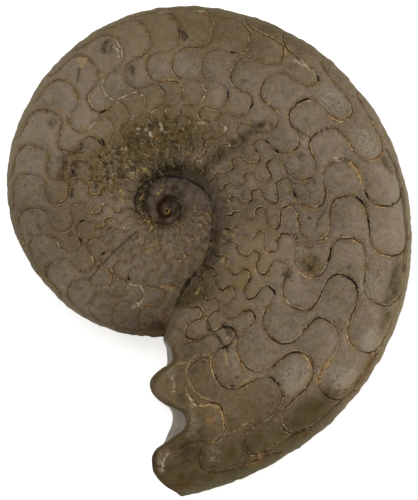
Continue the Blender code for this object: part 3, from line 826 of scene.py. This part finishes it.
def suture_turns(row):
    """Growth and share of a suture's tips and of the places where it turns over, from the venter inwards."""
    start = row[0]
    tips = [(start + float(curve_through(VENTRAL_LOBE_LAG, start)), VENTRAL_LOBE_SHARE)]
    for i, (lag, share) in enumerate(TIP_HABIT):
        known = row[i] if i < len(row) else None
        growth = known if known is not None else start + float(curve_through(lag, start))
        tips.append((growth, float(curve_through(share, growth))))
    places = [(tips[0][0], 1.0), tips[0]]
    for turn, here, there in zip(TURNS, tips, tips[1:]):
        growth_turn, share_turn = (float(curve_through(knots, start)) for knots in turn)
        growth = here[0] + (there[0] - here[0]) * growth_turn
        places.append((growth, here[1] + (there[1] - here[1]) * share_turn))
        places.append(there)
    return places


def suture_line(places):
    """Growth, share and strength along a suture: a quarter ellipse between each tip and the next turn."""
    angle = np.linspace(0, math.pi / 2, LINE_STEPS)
    along, out = np.sin(angle) ** LINE_FULLNESS, np.cos(angle) ** LINE_FULLNESS
    lines = []
    for i, (here, there) in enumerate(zip(places, places[1:])):
        turning, tip = (here, there) if i % 2 == 0 else (there, here)
        saddle = (i + 1) // 2 % 2 == 1
        growth = turning[0] + (tip[0] - turning[0]) * along
        share = tip[1] + (turning[1] - tip[1]) * out
        middle = (1 + LOBE_STRENGTH) / 2
        strength = middle + ((1.0 if saddle else LOBE_STRENGTH) - middle) * along
        line = np.column_stack((growth, share, strength))
        lines.append(line if i % 2 == 0 else line[::-1])
    return np.concatenate([line[:-1] for line in lines] + [lines[-1][-1:]])


def suture_points():
    """Places along all sutures of the upper flank, one to a row.

    After the place come the way the line runs there, its strength, its parity and its length so far in mm.
    """
    first = TIPS[0][0]
    rows = [(first - INNER_SUTURE_STEP * i,) for i in range(INNER_SUTURES, 0, -1)] + list(TIPS)
    found = []
    for index, row in enumerate(rows):
        growth, share, strength = suture_line(suture_turns(row)).T
        seen = on_coil(growth, share * venter_radius(growth), 0.0)[:, :2]
        point = flank_under(seen, growth)
        for size, far in LINE_WANDER_MM:
            for axis in (0, 1):
                point[:, axis] += far * MM * noise_field(point, size, 3 + axis + index % 3)
        way = np.gradient(point, axis=0)
        way /= np.maximum(np.linalg.norm(way, axis=1, keepdims=True), TINY)
        radius = np.hypot(point[:, 0], point[:, 1])
        cover = COVER_MM * MM
        shown = (radius < outer_radius(growth) + cover) & (radius > seam_radius(growth) - cover)
        parity = np.full(len(point), 1.0 if index % 2 == 0 else -1.0)
        steps = np.linalg.norm(np.diff(point, axis=0), axis=1) / MM
        along = np.concatenate(([0.0], np.cumsum(steps)))
        found.append(np.column_stack((point, way, strength, parity, along))[shown])
    return np.concatenate(found)


def suture_distance(points, normals):
    """How far each place is from its nearest suture in mm, with that line's strength, parity and length.

    The distance changes sign at each suture, so it runs straight through the lines with no break between.
    """
    line, way, strength, parity, length = np.split(suture_points(), (3, 6, 7, 8), axis=1)
    tree = kdtree.KDTree(len(line))
    for i, place in enumerate(line.tolist()):
        tree.insert(place, i)
    tree.balance()
    folded = points.copy()
    folded[:, 2] = np.abs(folded[:, 2])
    nearest = np.array([tree.find(place)[1] for place in folded.tolist()])
    up = normals.copy()
    up[points[:, 2] < 0, 2] *= -1
    away = folded - line[nearest]
    side = np.einsum("ij,ij->i", np.cross(way[nearest], away), up) / MM
    straight = np.linalg.norm(away, axis=1) / MM
    side = np.where(np.abs(side) < ASIDE * straight, np.sign(side) * straight, side)
    side = np.clip(side, -FAR_FROM_LINE_MM, FAR_FROM_LINE_MM)
    return side * parity[nearest, 0], strength[nearest, 0], parity[nearest, 0], length[nearest, 0]


def in_spot(growth, share, spot, edge):
    """How much each place lies in a spot, from 0 to 1."""
    at_growth, at_share, long, wide = spot
    return smooth(*edge, np.hypot((growth - at_growth) / long, (share - at_share) / wide))


def spots(growth, share, table, edge=SPOT_EDGE):
    """How much each place lies in a spot of the table, from 0 to 1."""
    found = np.zeros(len(growth))
    for spot in table:
        found = np.maximum(found, in_spot(growth, share, spot, edge))
    return found


def strokes(seen, table):
    """How plainly each place lies on a stroke, from 0 to 1. Seen is where it is seen on the middle plane."""
    found = np.zeros(len(seen))
    for half_width, softness, *knots in table:
        line = np.array(knots)
        line = on_coil(line[:, 0], line[:, 1] * venter_radius(line[:, 0]), 0.0)[:, :2]
        reach = (half_width + softness) * MM
        close = np.all((seen > line.min(axis=0) - reach) & (seen < line.max(axis=0) + reach), axis=1)
        place = seen[close]
        away = np.full(len(place), np.inf)
        for start, end in zip(line, line[1:]):
            along = np.clip((place - start) @ (end - start) / np.sum((end - start) ** 2), 0.0, 1.0)
            away = np.minimum(away, np.linalg.norm(place - start - along[:, None] * (end - start), axis=1))
        found[close] = np.maximum(found[close], smooth(half_width + softness, half_width, away / MM))
    return found


def relief_and_looks(points, normals, growth, radius, form):
    """The height of the relief at each place in metres, and what the material reads there."""
    upper = points[:, 2] > 0
    on_top = upper.astype(float)
    seen = seen_at(points)
    turned = np.where(upper, growth_at(seen, growth), growth)
    share = np.where(upper, np.hypot(seen[:, 0], seen[:, 1]), radius) / venter_radius(turned)
    line, strength, even, along = suture_distance(points, normals)
    near = np.abs(line)
    fields = [noise_field(points, size, i + 1) for i, size in enumerate(RELIEF_NOISE_MM)]
    waves, ripples, grit, patchy = fields

    found = {"suture": line, "adoral": even, "along": along}
    for name, table in SPOTS.items():
        found[name] = spots(turned, share, table) * on_top
    for name, table in SOFT_SPOTS.items():
        found[name] = spots(turned, share, table, SOFT_EDGE) * on_top
    for name, table in STROKES.items():
        found[name] = np.maximum(found.get(name, 0.0), strokes(seen, table) * on_top)
    found["shade"] = np.zeros(len(points))
    for *spot, by in TONES:
        found["shade"] += by * in_spot(turned, share, spot, TONE_EDGE) * on_top
    worn_below = (1 - on_top) * smooth(*WORN_BELOW, patchy) * (share > WORN_BELOW_FROM)
    found["rough"] = np.maximum(found["rough"], worn_below)
    last_whorl = growth > MOUTH - WHORL
    found["edge"] = np.where(last_whorl, np.clip(share, RIM_FROM, 1.0), RIM_FROM)
    rim = smooth(*RIM, share) * last_whorl

    # The umbilicus' colours, the painted shade on its wall and beside its seams, and the brown along the
    # broken edge
    radius_mm = radius / MM
    from_seam = (radius - seam_radius(growth)) / MM
    covered_in = (outer_radius(growth) - radius) / MM
    first_whorls = curve_through(DUSK_OF_FIRST_WHORLS, growth)
    wall = smooth(*WALL_SHARE, share - seam_radius(growth) / venter_radius(growth)) * (growth > 0)
    wall *= curve_through(DUSK_OF_WALL, growth)
    # Painted shade on the umbilical wall, broken up by noise, and in the crease beside the first whorls'
    # outer seam
    wall_shade_and_deposit = wall * (1 + 0.5 * grit + 0.3 * patchy)
    seam_dusk = SEAM_DUSK * smooth(*SEAM_DUSK_MM, covered_in) * smooth(*SEAM_DUSK_GROWTH, growth)
    found["wall_shade_and_deposit"] = np.clip(np.maximum(wall_shade_and_deposit, seam_dusk), 0.0, 1.0)
    funnel = smooth(*FUNNEL_MM, radius_mm) * on_top
    found["plum"] = np.clip(np.maximum(first_whorls * (1 + 0.35 * ripples), funnel), 0.0, 1.0)
    foot = np.minimum(from_seam, covered_in)
    seam_growth = np.where(covered_in < from_seam, growth + WHORL, growth)
    groove = smooth(*GROOVE_MM, foot) * smooth(*GROOVE_GROWTH, seam_growth)
    found["groove"] = groove * smooth(*GROOVE_ENDS_MM, radius_mm)
    hollow = smooth(*HOLLOW_MM, radius_mm)
    ring = smooth(*RING_MM, radius_mm + 0.15 * grit) * on_top * (1 - hollow)
    found["ring"] = ring * (0.55 - 0.40 * np.sin(np.radians(turned)))
    found["black"] = np.maximum(found["black"], hollow * on_top)
    back = (curve_through(MOUTH_EDGE, share) - turned) * np.radians(1) * radius_mm
    found["brim"] = smooth(*BROKEN_RIM_MM, back + 1.2 * ripples) * (np.abs(back) < BROKEN_RIM_FAR_MM)

    # How plain the sutures are
    strength = strength * (YOUNG_LINE + (1 - YOUNG_LINE) * smooth(*YOUNG_TILL, growth))
    strength *= curve_through(BOLDNESS, growth) * (1 - RIM_MUTES * smooth(*MUTED_AT_RIM, share))
    strength *= (1 - 0.9 * spots(turned, share, MUTED) * on_top) * smooth(*LINE_FADES_MM, near)
    found["strength"] = strength

    # The relief, in mm
    relief = form.wave / MM * waves + form.ripple / MM * ripples * (1 + found["rough"])
    relief += form.chamber_swell / MM * smooth(*SWELL_MM, near)
    groove = np.exp(-((near / (form.groove_width / MM)) ** 2)) * (0.35 + 0.65 * strength)
    relief -= form.groove_depth / MM * groove * (1 + 0.6 * ripples)
    relief += form.roughness / MM * found["rough"] * (0.9 * grit + 0.5 * ripples - 0.4)
    pits = smooth(*PITS, noise_field(points, PIT_MM, 5)) * found["rough"]
    relief -= PIT_DEPTH_MM * pits
    for name, high in STROKE_HEIGHTS_MM.items():
        relief += high * found[name]
    for *spot, high in FORMS:
        relief += high * in_spot(turned, share, spot, FORM_EDGE) * on_top
    relief *= 1 - INNER_CALM * smooth(*INNER_GROWTH, growth)
    relief += 0.22 * grit * first_whorls + 0.18 * grit * wall
    chips = -0.35 * smooth(*CHIPS, noise_field(points, CHIP_MM, 6)) + 0.16 * grit + 0.20 * ripples
    relief = relief * (1 - RIM_CALM * rim) + rim * chips
    # The worn ground's pits are darkened, as painted shade in them. The first chamber's hollow is dark too
    found["pits"] = np.maximum(pits * 0.7, hollow * on_top * 0.95)
    return relief * MM, found


def map_places(mesh, points, growth, radius, corner, kind):
    """Writes the map that the looks are baked on: the two flanks, and the mouth's two halves together."""
    outer = venter_radius(growth)
    hidden = np.maximum(half_width(outer) * MAP_VENTER_HEIGHT - np.abs(points[:, 2]), 0)
    reach = radius + smooth(*MAP_VENTER, radius / outer) * hidden
    spread = on_coil(growth, reach, 0.0)[:, :2] / MM
    mouth = np.column_stack((radius, points[:, 2])) / MM
    place = np.zeros((len(corner), 2))
    left = MAP_MARGIN
    for which, scale in ((UPPER, MAP_SCALES[0]), (LOWER, MAP_SCALES[1])):
        chosen = kind == which
        flat = spread[corner[chosen]] * scale / MAP_SIDE
        if which == LOWER:
            flat[:, 0] *= -1
        low = flat.min(axis=0)
        size = flat.max(axis=0) - low
        place[chosen] = flat - low + (left, MAP_MARGIN)
        left += size[0] + MAP_MARGIN
        if which == UPPER:
            top = MAP_MARGIN + size[1] + MAP_MARGIN
    mouth_faces = kind >= UPPER_MOUTH
    flat = mouth[corner[mouth_faces]] * MAP_SCALES[0] / MAP_SIDE
    place[mouth_faces] = flat - flat.min(axis=0) + (MAP_MARGIN, top)
    layer = mesh.uv_layers.new(name="OFBake")
    layer.data.foreach_set("uv", place.astype(np.float32).ravel())


def add_node(tree, kind, inputs=None, **settings):
    """Adds a node with its settings. Each input is a plain value or another node's output."""
    made = tree.nodes.new(kind)
    for name, value in settings.items():
        setattr(made, name, value)
    for socket, value in (inputs or {}).items():
        if isinstance(value, bpy.types.NodeSocket):
            tree.links.new(value, made.inputs[socket])
        else:
            made.inputs[socket].default_value = value
    return made


# Clouds of noise in the marl: size in mm, detail and roughness
CLOUDS = {
    "broad": (48, 3, 0.55), "middle": (17, 3, 0.55), "vein": (11, 2, 0.5),
    "patch": (6.5, 3, 0.55), "hue": (5, 3, 0.6), "mottle": (3.2, 3, 0.6),
    "speck": (1.7, 3, 0.6), "grain": (0.85, 2, 0.6), "wander": (3.4, 2, 0.5),
}
HOLE_SPACING_MM = 3.6
# Looks that noise breaks up: which noise, two of its values, and how much of the look is left at each
BROKEN_UP = {
    "umber": ("patch", 0.34, 0.62, 0.35, 0.95), "olive": ("hue", 0.34, 0.6, 0.95, 0.4),
    "flecks": ("speck", 0.63, 0.71, 0, 0.75), "light": ("speck", 0.4, 0.64, 0.05, 0.6),
    "glow": ("speck", 0.36, 0.6, 0.15, 0.65), "rust": ("speck", 0.38, 0.58, 0.1, 0.85),
    "stain": ("mottle", 0.3, 0.6, 0.85, 0.25), "smear_and_seam_shade": ("mottle", 0.3, 0.62, 0.8, 0.3),
    "wall_shade_and_deposit": ("speck", 0.36, 0.64, 1, 0.55), "plum": ("mottle", 0.36, 0.62, 1.10, 0.62),
    "black": ("mottle", 0.62, 0.46, 0.45, 0.92), "crust": ("speck", 0.44, 0.56, 0.06, 0.8),
    "septum": ("patch", 0.34, 0.62, 0.95, 0.45), "brim": ("mottle", 0.32, 0.6, 1, 0.65),
}
# How the marl's masks are worked out, in order: name, step, what goes in. Lengths are in mm. A RAMP turns a
# value that lies between its first two numbers into one between its last two. A FADE multiplies its first
# mask by a ramp of its second. A SUM adds each next mask times the number after it. A PRODUCT multiplies all
MASKS = (
    # How light the marl is, from its grain up to wide clouds
    ("tone", "SUM", "shade", "grain", 0.65, "speck", 0.6, "mottle", 0.72, "patch", 0.44, "middle", 0.62),
    ("tone", "MULTIPLY_ADD", "broad", 0.6, "tone"),
    ("dark", "SUBTRACT", 2.235, "tone"),
    ("olive_tint", "RAMP", "hue", 0.46, 0.66, 0, 0.75),
    ("taupe_much", "MULTIPLY_ADD", "taupe", 0.3, 0.55),
    ("taupe_tint", "FADE", "taupe_much", "hue", 0.54, 0.34, 0.1, 1),
    # The line of a suture strays a little, and comes and goes
    ("stray", "SUBTRACT", "wander", 0.5),
    ("jag", "SUBTRACT", "speck", 0.5),
    ("line", "SUM", "suture", "stray", 0.6, "jag", 1.1),
    ("near", "ABSOLUTE", "line"),
    ("plain", "FADE", "strength", "vein", 0.34, 0.6, 0.3, 1),
    ("plain", "MAXIMUM", "plain", "ink"),
    ("half", "RAMP", "plain", 0.2, 1.5, 0, 0.34),
    ("half", "MULTIPLY_ADD", "ink", 0.14, "half"),
    ("from_core", "SUBTRACT", "near", "half"),
    ("shown", "RAMP", "strength", 0, 0.1, 0, 1),
    ("dark_line", "FADE", "shown", "from_core", 0.42, 0, 0, 1),
    ("dark_line", "FADE", "dark_line", "plain", 0.05, 1.20, 0.26, 0.95),
    ("inked", "FADE", "ink", "from_core", 0.35, 0, 0, 0.9),
    ("halo", "FADE", "shown", "near", 2.4, 0.4, 0, 1),
    ("halo", "FADE", "halo", "patch", 0.38, 0.62, 0.12, 0.6),
    ("inside", "RAMP", "near", 0.8, 3.4, 0, 0.5),
    ("dark_crumbs", "FADE", "halo", "speck", 0.46, 0.34, 0, 0.6),
    ("light_crumbs", "FADE", "halo", "grain", 0.54, 0.66, 0, 0.6),
    # Teeth stand on the line where it turns at the foot of a lobe, 1.7 mm apart
    ("signed", "MULTIPLY", "line", "adoral"),
    ("tick", "MULTIPLY_ADD", "stray", 1.6, "along"),
    ("tick", "MULTIPLY", "tick", 3.7),
    ("tick", "SINE", "tick"),
    ("tick", "FADE", "teeth", "tick", 0, 0.7, 0, 0.8),
    ("tick", "FADE", "tick", "signed", -1.7, -1, 0, 1),
    ("tick", "FADE", "tick", "signed", 0.2, -0.2, 0, 1),
    ("tick", "FADE", "tick", "strength", 1.05, 0.75, 0, 1),
    ("tick", "MULTIPLY", "tick", "shown"),
    # Calcite lies beside the line, on the side that faces the mouth, and a thin light edge on the other
    ("beside", "SUBTRACT", "signed", 0.65),
    ("beside", "ABSOLUTE", "beside"),
    ("gold_here", "RAMP", "vein", 0.52, 0.66, 0, 0.7),
    ("gold_here", "MAXIMUM", "gold_here", "gold"),
    ("crumbs", "RAMP", "speck", 0.38, 0.54, 0.15, 1),
    ("gold_edge", "FADE", "gold_here", "beside", 0.5, 0.05, 0, 0.95),
    ("gold_edge", "PRODUCT", "gold_edge", "crumbs", "shown"),
    ("orange", "FADE", "gold_here", "near", 1.3, 0.4, 0, 0.75),
    ("white_bits", "FADE", "gold_edge", "speck", 0.56, 0.64, 0, 0.9),
    ("light_edge", "ADD", "signed", 0.6),
    ("light_edge", "ABSOLUTE", "light_edge"),
    ("light_edge", "FADE", "strength", "light_edge", 0.4, 0.05, 0, 0.85),
    ("light_edge", "FADE", "light_edge", "wander", 0.46, 0.58, 0, 1),
    ("pale_edge", "FADE", "pale", "near", 0.46, 0.06, 0, 0.85),
    ("pale_edge", "MULTIPLY", "pale_edge", "crumbs"),
    ("thread", "PRODUCT", "thread", "crumbs", 0.75),
    ("cream", "PRODUCT", "cream", "crumbs", 0.6),
    ("crack", "MULTIPLY", "crack", 0.75),
    # Rims, whose olive and brown bands are partly painted shade where the venter turns away from the light,
    # polished chamber fillings with fine rings in them, and worn ground
    ("rim_place", "MULTIPLY_ADD", "patch", 0.045, "edge"),
    ("rim_crumbs", "RAMP", "speck", 0.34, 0.62, 1, 0.35),
    ("rim_olive", "FADE", "rim_crumbs", "rim_place", 0.98, 1.010, 0, 0.5),
    ("rim_brown", "FADE", "rim_crumbs", "rim_place", 0.955, 0.99, 0, 0.3),
    # The polished fillings' painted sheen has fine rings in it
    ("rings", "SUM", 0, "near", 3.4, "mottle", 22),
    ("rings", "SINE", "rings"),
    ("polish_and_painted_sheen", "FADE", "polish_and_painted_sheen", "rings", -0.8, 0.9, 0, 0.72),
    ("ochre", "FADE", "rough", "patch", 0.36, 0.6, 0.05, 0.6),
    ("rough_dark", "FADE", "rough", "speck", 0.5, 0.36, 0, 0.5),
    ("rough_light", "FADE", "rough", "grain", 0.55, 0.68, 0, 0.32),
    ("groove", "MULTIPLY", "groove", 0.92),
    # Dark holes, each in a cell of its own, in some cells only
    ("hole_here", "GREATER_THAN", "hole_pick", 0.7),
    ("hole", "FADE", "hole_here", "hole_near", 0.15, 0.06, 0, 0.65),
    # Marl polishes to a dull wax shine. Worn ground stays matt
    ("matt", "MAXIMUM", "rough", "wall_shade_and_deposit"),
    ("matt_rim", "RAMP", "edge", 0.93, 0.97, 0, 1.2),
    ("matt", "MAXIMUM", "matt", "matt_rim"),
    ("shine", "RAMP", "mottle", 0.3, 0.7, 0.52, 0.64),
    ("shine", "SUM", "shine", "polish_and_painted_sheen", -0.14, "matt", 0.22),
    ("worn", "MULTIPLY_ADD", "rough", 1.3, 0.6),
    ("relief", "SUM", 0, "grain", 0.45, "speck", 0.9, "mottle", 0.6),
    ("relief", "MULTIPLY", "relief", "worn"),
    ("relief", "SUM", "relief", "dark_line", -0.6, "tick", -0.3, "hole", -0.8),
)
# The marl's colours, each laid over the ones before it: mask and colour. Some are painted light and shade:
# the sheen on polished fillings, the umbilical wall, the seam strokes, the pits, and in part the rim's bands
# and the septum
LAYERS = (
    ("olive_tint", "marl_olive"), ("taupe_tint", "taupe"), ("inside", "lilac"), ("umber", "umber"),
    ("dark", "marl_dark"), ("halo", "halo"), ("dark_crumbs", "line"), ("light_crumbs", "tan"),
    ("olive", "olive"), ("polish_and_painted_sheen", "sheen"), ("ochre", "ochre"), ("rough_dark", "rough_dark"),
    ("rough_light", "tan"), ("light", "sheen"), ("smear_and_seam_shade", "stain"), ("stain", "stain"), ("plum", "plum"),
    ("wall_shade_and_deposit", "wall_shade_and_deposit"), ("groove", "groove"), ("ring", "ring"), ("rim_brown", "rim_brown"),
    ("rim_olive", "rim_olive"), ("septum", "septum"), ("brim", "brim"), ("glow", "glow"), ("rust", "rust"),
    ("orange", "orange"), ("dark_line", "line"), ("tick", "line"), ("light_edge", "tan"),
    ("gold_edge", "gold"), ("white_bits", "cream"), ("thread", "gold"), ("crack", "line"),
    ("pale_edge", "cream"), ("cream", "cream"), ("inked", "ink"), ("pits", "stain"), ("hole", "stain"),
    ("crust", "crust"), ("black", "ink"), ("flecks", "cream"),
)


def single_steps():
    """The rows of MASKS and BROKEN_UP, with each FADE, SUM and PRODUCT written out as steps of one node."""
    rows = [(name, "FADE", name, *ramp) for name, ramp in BROKEN_UP.items()]
    for name, step, first, *rest in rows + list(MASKS):
        if step == "FADE":
            yield "fade", "RAMP", rest
            yield name, "MULTIPLY", (first, "fade")
        elif step == "SUM":
            for mask, times in zip(rest[::2], rest[1::2]):
                yield name, "MULTIPLY_ADD", (mask, times, first)
                first = name
        elif step == "PRODUCT":
            for mask in rest:
                yield name, "MULTIPLY", (first, mask)
                first = name
        else:
            yield name, step, (first, *rest)


def marl(colours, looks):
    """Polished marl of an ammonite's inner mould, with calcite and rust along the sutures.

    The eye sees a dense grey-brown stone with a waxy shine, fine grain, and thin dark lines edged with gold.
    """
    material = bpy.data.materials.new("marl_steinkern")
    material.use_nodes = True
    tree = material.node_tree
    shader = tree.nodes["Principled BSDF"]
    place = add_node(tree, "ShaderNodeTexCoord").outputs["Object"]
    masks = {}
    for name in looks:
        masks[name] = add_node(tree, "ShaderNodeAttribute", attribute_name=name).outputs["Fac"]
    for name, (size_mm, detail, roughness) in CLOUDS.items():
        inputs = {"Vector": place, "Scale": 1000 / size_mm, "Detail": detail, "Roughness": roughness}
        masks[name] = add_node(tree, "ShaderNodeTexNoise", inputs).outputs["Fac"]
    cells = add_node(tree, "ShaderNodeTexVoronoi", {"Vector": place, "Scale": 1000 / HOLE_SPACING_MM})
    masks["hole_near"], masks["hole_pick"] = cells.outputs["Distance"], cells.outputs["Color"]
    for name, step, values in single_steps():
        values = [masks.get(value, value) for value in values]
        if step == "RAMP":
            inputs = dict(zip(("Value", "From Min", "From Max", "To Min", "To Max"), values))
            made = add_node(tree, "ShaderNodeMapRange", inputs, interpolation_type="SMOOTHSTEP")
        else:
            made = add_node(tree, "ShaderNodeMath", dict(enumerate(values)), operation=step)
        masks[name] = made.outputs[0]
    tone = (*colours.marl, 1.0)
    for mask, name in LAYERS:
        inputs = {0: masks[mask], 6: tone, 7: (*getattr(colours, name), 1.0)}
        tone = add_node(tree, "ShaderNodeMix", inputs, data_type="RGBA", clamp_factor=True).outputs[2]
    tree.links.new(tone, shader.inputs["Base Color"])
    tree.links.new(masks["shine"], shader.inputs["Roughness"])
    shader.inputs["IOR"].default_value = MARL_IOR
    shader.inputs["Specular IOR Level"].default_value = MARL_SPECULAR
    inputs = {"Strength": BUMP_STRENGTH, "Distance": BUMP_MM * MM, "Height": masks["relief"]}
    bump = add_node(tree, "ShaderNodeBump", inputs)
    tree.links.new(bump.outputs[0], shader.inputs["Normal"])
    return material


class AMMONITE_OT_cast(bpy.types.Operator):
    """Build the stone cast with its sutures, relief and colours"""

    bl_idname = "ammonite.cast"
    bl_label = "Build the cast"

    def execute(self, context):
        form = context.scene.ammonite_form
        node_box = np.array(corners(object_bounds()))
        bm = even_cast()
        mesh = bpy.data.meshes.new("ammonite_cast_surface")
        bm.to_mesh(mesh)
        bm.free()
        points = read_items(mesh.vertices, "co", 3)
        normals = read_items(mesh.vertex_normals, "vector", 3)
        growth = read_items(mesh.attributes["growth"].data, "value")
        radius = read_items(mesh.attributes["radius"].data, "value")
        corner = read_items(mesh.loops, "vertex_index", number=np.int32)
        kind = read_items(mesh.attributes["kind"].data, "value", number=np.int32)
        kind = np.repeat(kind, read_items(mesh.polygons, "loop_total", number=np.int32))
        relief, looks = relief_and_looks(points, normals, growth, radius, form)
        on_mouth, on_flank = np.zeros(len(points), bool), np.zeros(len(points), bool)
        on_mouth[corner[kind >= UPPER_MOUTH]] = True
        on_flank[corner[kind < UPPER_MOUTH]] = True
        in_mouth = on_mouth & ~on_flank
        for values in looks.values():
            values[in_mouth] = 0.0
        looks["septum"] = in_mouth.astype(float)
        looks["suture"][in_mouth] = FAR_FROM_LINE_MM
        mouth_relief, mouth_noise_mm = MOUTH_RELIEF_MM
        relief = np.where(on_mouth, mouth_relief * MM * noise_field(points, mouth_noise_mm, 8), relief)
        map_places(mesh, points, growth, radius, corner, kind)
        moved = points + normals * relief[:, None]
        moved[:, :2] += np.array(FIRST_CHAMBER_OFF) * smooth(*OFF_TILL_MM, radius / MM)[:, None]
        room = in_room(moved)
        room[:, 2] = np.maximum(room[:, 2], 0.0)
        if np.abs(np.array((room.min(axis=0), room.max(axis=0))) - node_box).max() > BOX_TOLERANCE:
            raise RuntimeError("The cast doesn't fill the box of its node")
        mesh.vertices.foreach_set("co", room.ravel())
        for name in ("growth", "radius", "kind"):
            mesh.attributes.remove(mesh.attributes[name])
        for name, values in looks.items():
            mesh.attributes.new(name, "FLOAT", "POINT").data.foreach_set("value", values.astype(np.float32))
        mesh.materials.append(marl(context.scene.ammonite_colours, looks))
        mesh.shade_smooth()
        mesh.update()
        piece = bpy.data.objects.new("ammonite_cast_surface", mesh)
        context.scene.collection.objects.link(piece)
        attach(piece, "root")
        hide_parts(NODE)
        return {"FINISHED"}


def softbox(name, place, target, side, power):
    light = bpy.data.lights.new(name, "AREA")
    light.shape = "SQUARE"
    light.size = side
    light.energy = power
    lamp = bpy.data.objects.new(name, light)
    lamp.location = place
    lamp.rotation_euler = (Vector(target) - Vector(place)).to_track_quat("-Z", "Y").to_euler()
    bpy.context.scene.collection.objects.link(lamp)


class AMMONITE_OT_studio(bpy.types.Operator):
    """Set up the floor, the soft lights and the camera that looks straight down"""

    bl_idname = "ammonite.studio"
    bl_label = "Set up the studio"

    def execute(self, context):
        studio = context.scene.ammonite_studio
        bm = bmesh.new()
        bmesh.ops.create_grid(bm, x_segments=1, y_segments=1, size=studio.floor_side / 2)
        mesh = bpy.data.meshes.new("floor")
        bm.to_mesh(mesh)
        bm.free()
        floor = bpy.data.objects.new("floor", mesh)
        context.scene.collection.objects.link(floor)
        paper = bpy.data.materials.new("matt_white_paper_on_a_light_table")
        paper.use_nodes = True
        sheet = paper.node_tree.nodes["Principled BSDF"]
        sheet.inputs["Base Color"].default_value = (*studio.floor_white, 1.0)
        sheet.inputs["Roughness"].default_value = PAPER_ROUGHNESS
        sheet.inputs["Emission Color"].default_value = (1.0, 1.0, 1.0, 1.0)
        sheet.inputs["Emission Strength"].default_value = studio.floor_glow
        mesh.materials.append(paper)
        floor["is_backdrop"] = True

        world = bpy.data.worlds.new("soft_surround")
        world.use_nodes = True
        sky = world.node_tree.nodes["Background"]
        sky.inputs["Color"].default_value = (1.0, 1.0, 1.0, 1.0)
        sky.inputs["Strength"].default_value = studio.surround
        context.scene.world = world
        softbox("overhead_softbox", *OVERHEAD, studio.overhead)
        softbox("side_softbox", *SIDE, studio.side)

        camera = bpy.data.cameras.new("camera")
        camera.sensor_fit = "VERTICAL"
        camera.sensor_height = SENSOR_MM
        camera.lens = SENSOR_MM * CAMERA_DISTANCE / (IMAGE_HEIGHT_PX * MM_PER_PIXEL * MM)
        camera.clip_end = CLIP_END
        eye = bpy.data.objects.new("camera", camera)
        eye.location = (*CAMERA_AT, CAMERA_DISTANCE + COIL_CENTRE[2])
        context.scene.collection.objects.link(eye)
        context.scene.camera = eye
        context.scene.view_settings.view_transform = "Standard"
        return {"FINISHED"}


class AMMONITE_PT_panel(bpy.types.Panel):
    """The steps that build the ammonite and its studio"""

    bl_label = "Ammonite"
    bl_idname = "AMMONITE_PT_panel"
    bl_space_type = "VIEW_3D"
    bl_region_type = "UI"
    bl_category = "Ammonite"

    def draw(self, context):
        for group in ("ammonite_form", "ammonite_colours", "ammonite_studio"):
            settings = getattr(context.scene, group)
            box = self.layout.box()
            for name in settings.bl_rna.properties.keys():
                if name not in ("rna_type", "name"):
                    box.prop(settings, name)
        self.layout.operator(AMMONITE_OT_cast.bl_idname)
        self.layout.operator(AMMONITE_OT_studio.bl_idname)


CLASSES = (CastForm, StoneColours, Studio, AMMONITE_OT_cast, AMMONITE_OT_studio, AMMONITE_PT_panel)


def register():
    for item in CLASSES:
        bpy.utils.register_class(item)
    bpy.types.Scene.ammonite_form = PointerProperty(type=CastForm)
    bpy.types.Scene.ammonite_colours = PointerProperty(type=StoneColours)
    bpy.types.Scene.ammonite_studio = PointerProperty(type=Studio)


def unregister():
    del bpy.types.Scene.ammonite_form
    del bpy.types.Scene.ammonite_colours
    del bpy.types.Scene.ammonite_studio
    for item in reversed(CLASSES):
        bpy.utils.unregister_class(item)


def main():
    register()
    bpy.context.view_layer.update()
    bpy.ops.ammonite.cast()
    bpy.ops.ammonite.studio()


if __name__ == "__main__":
    main()
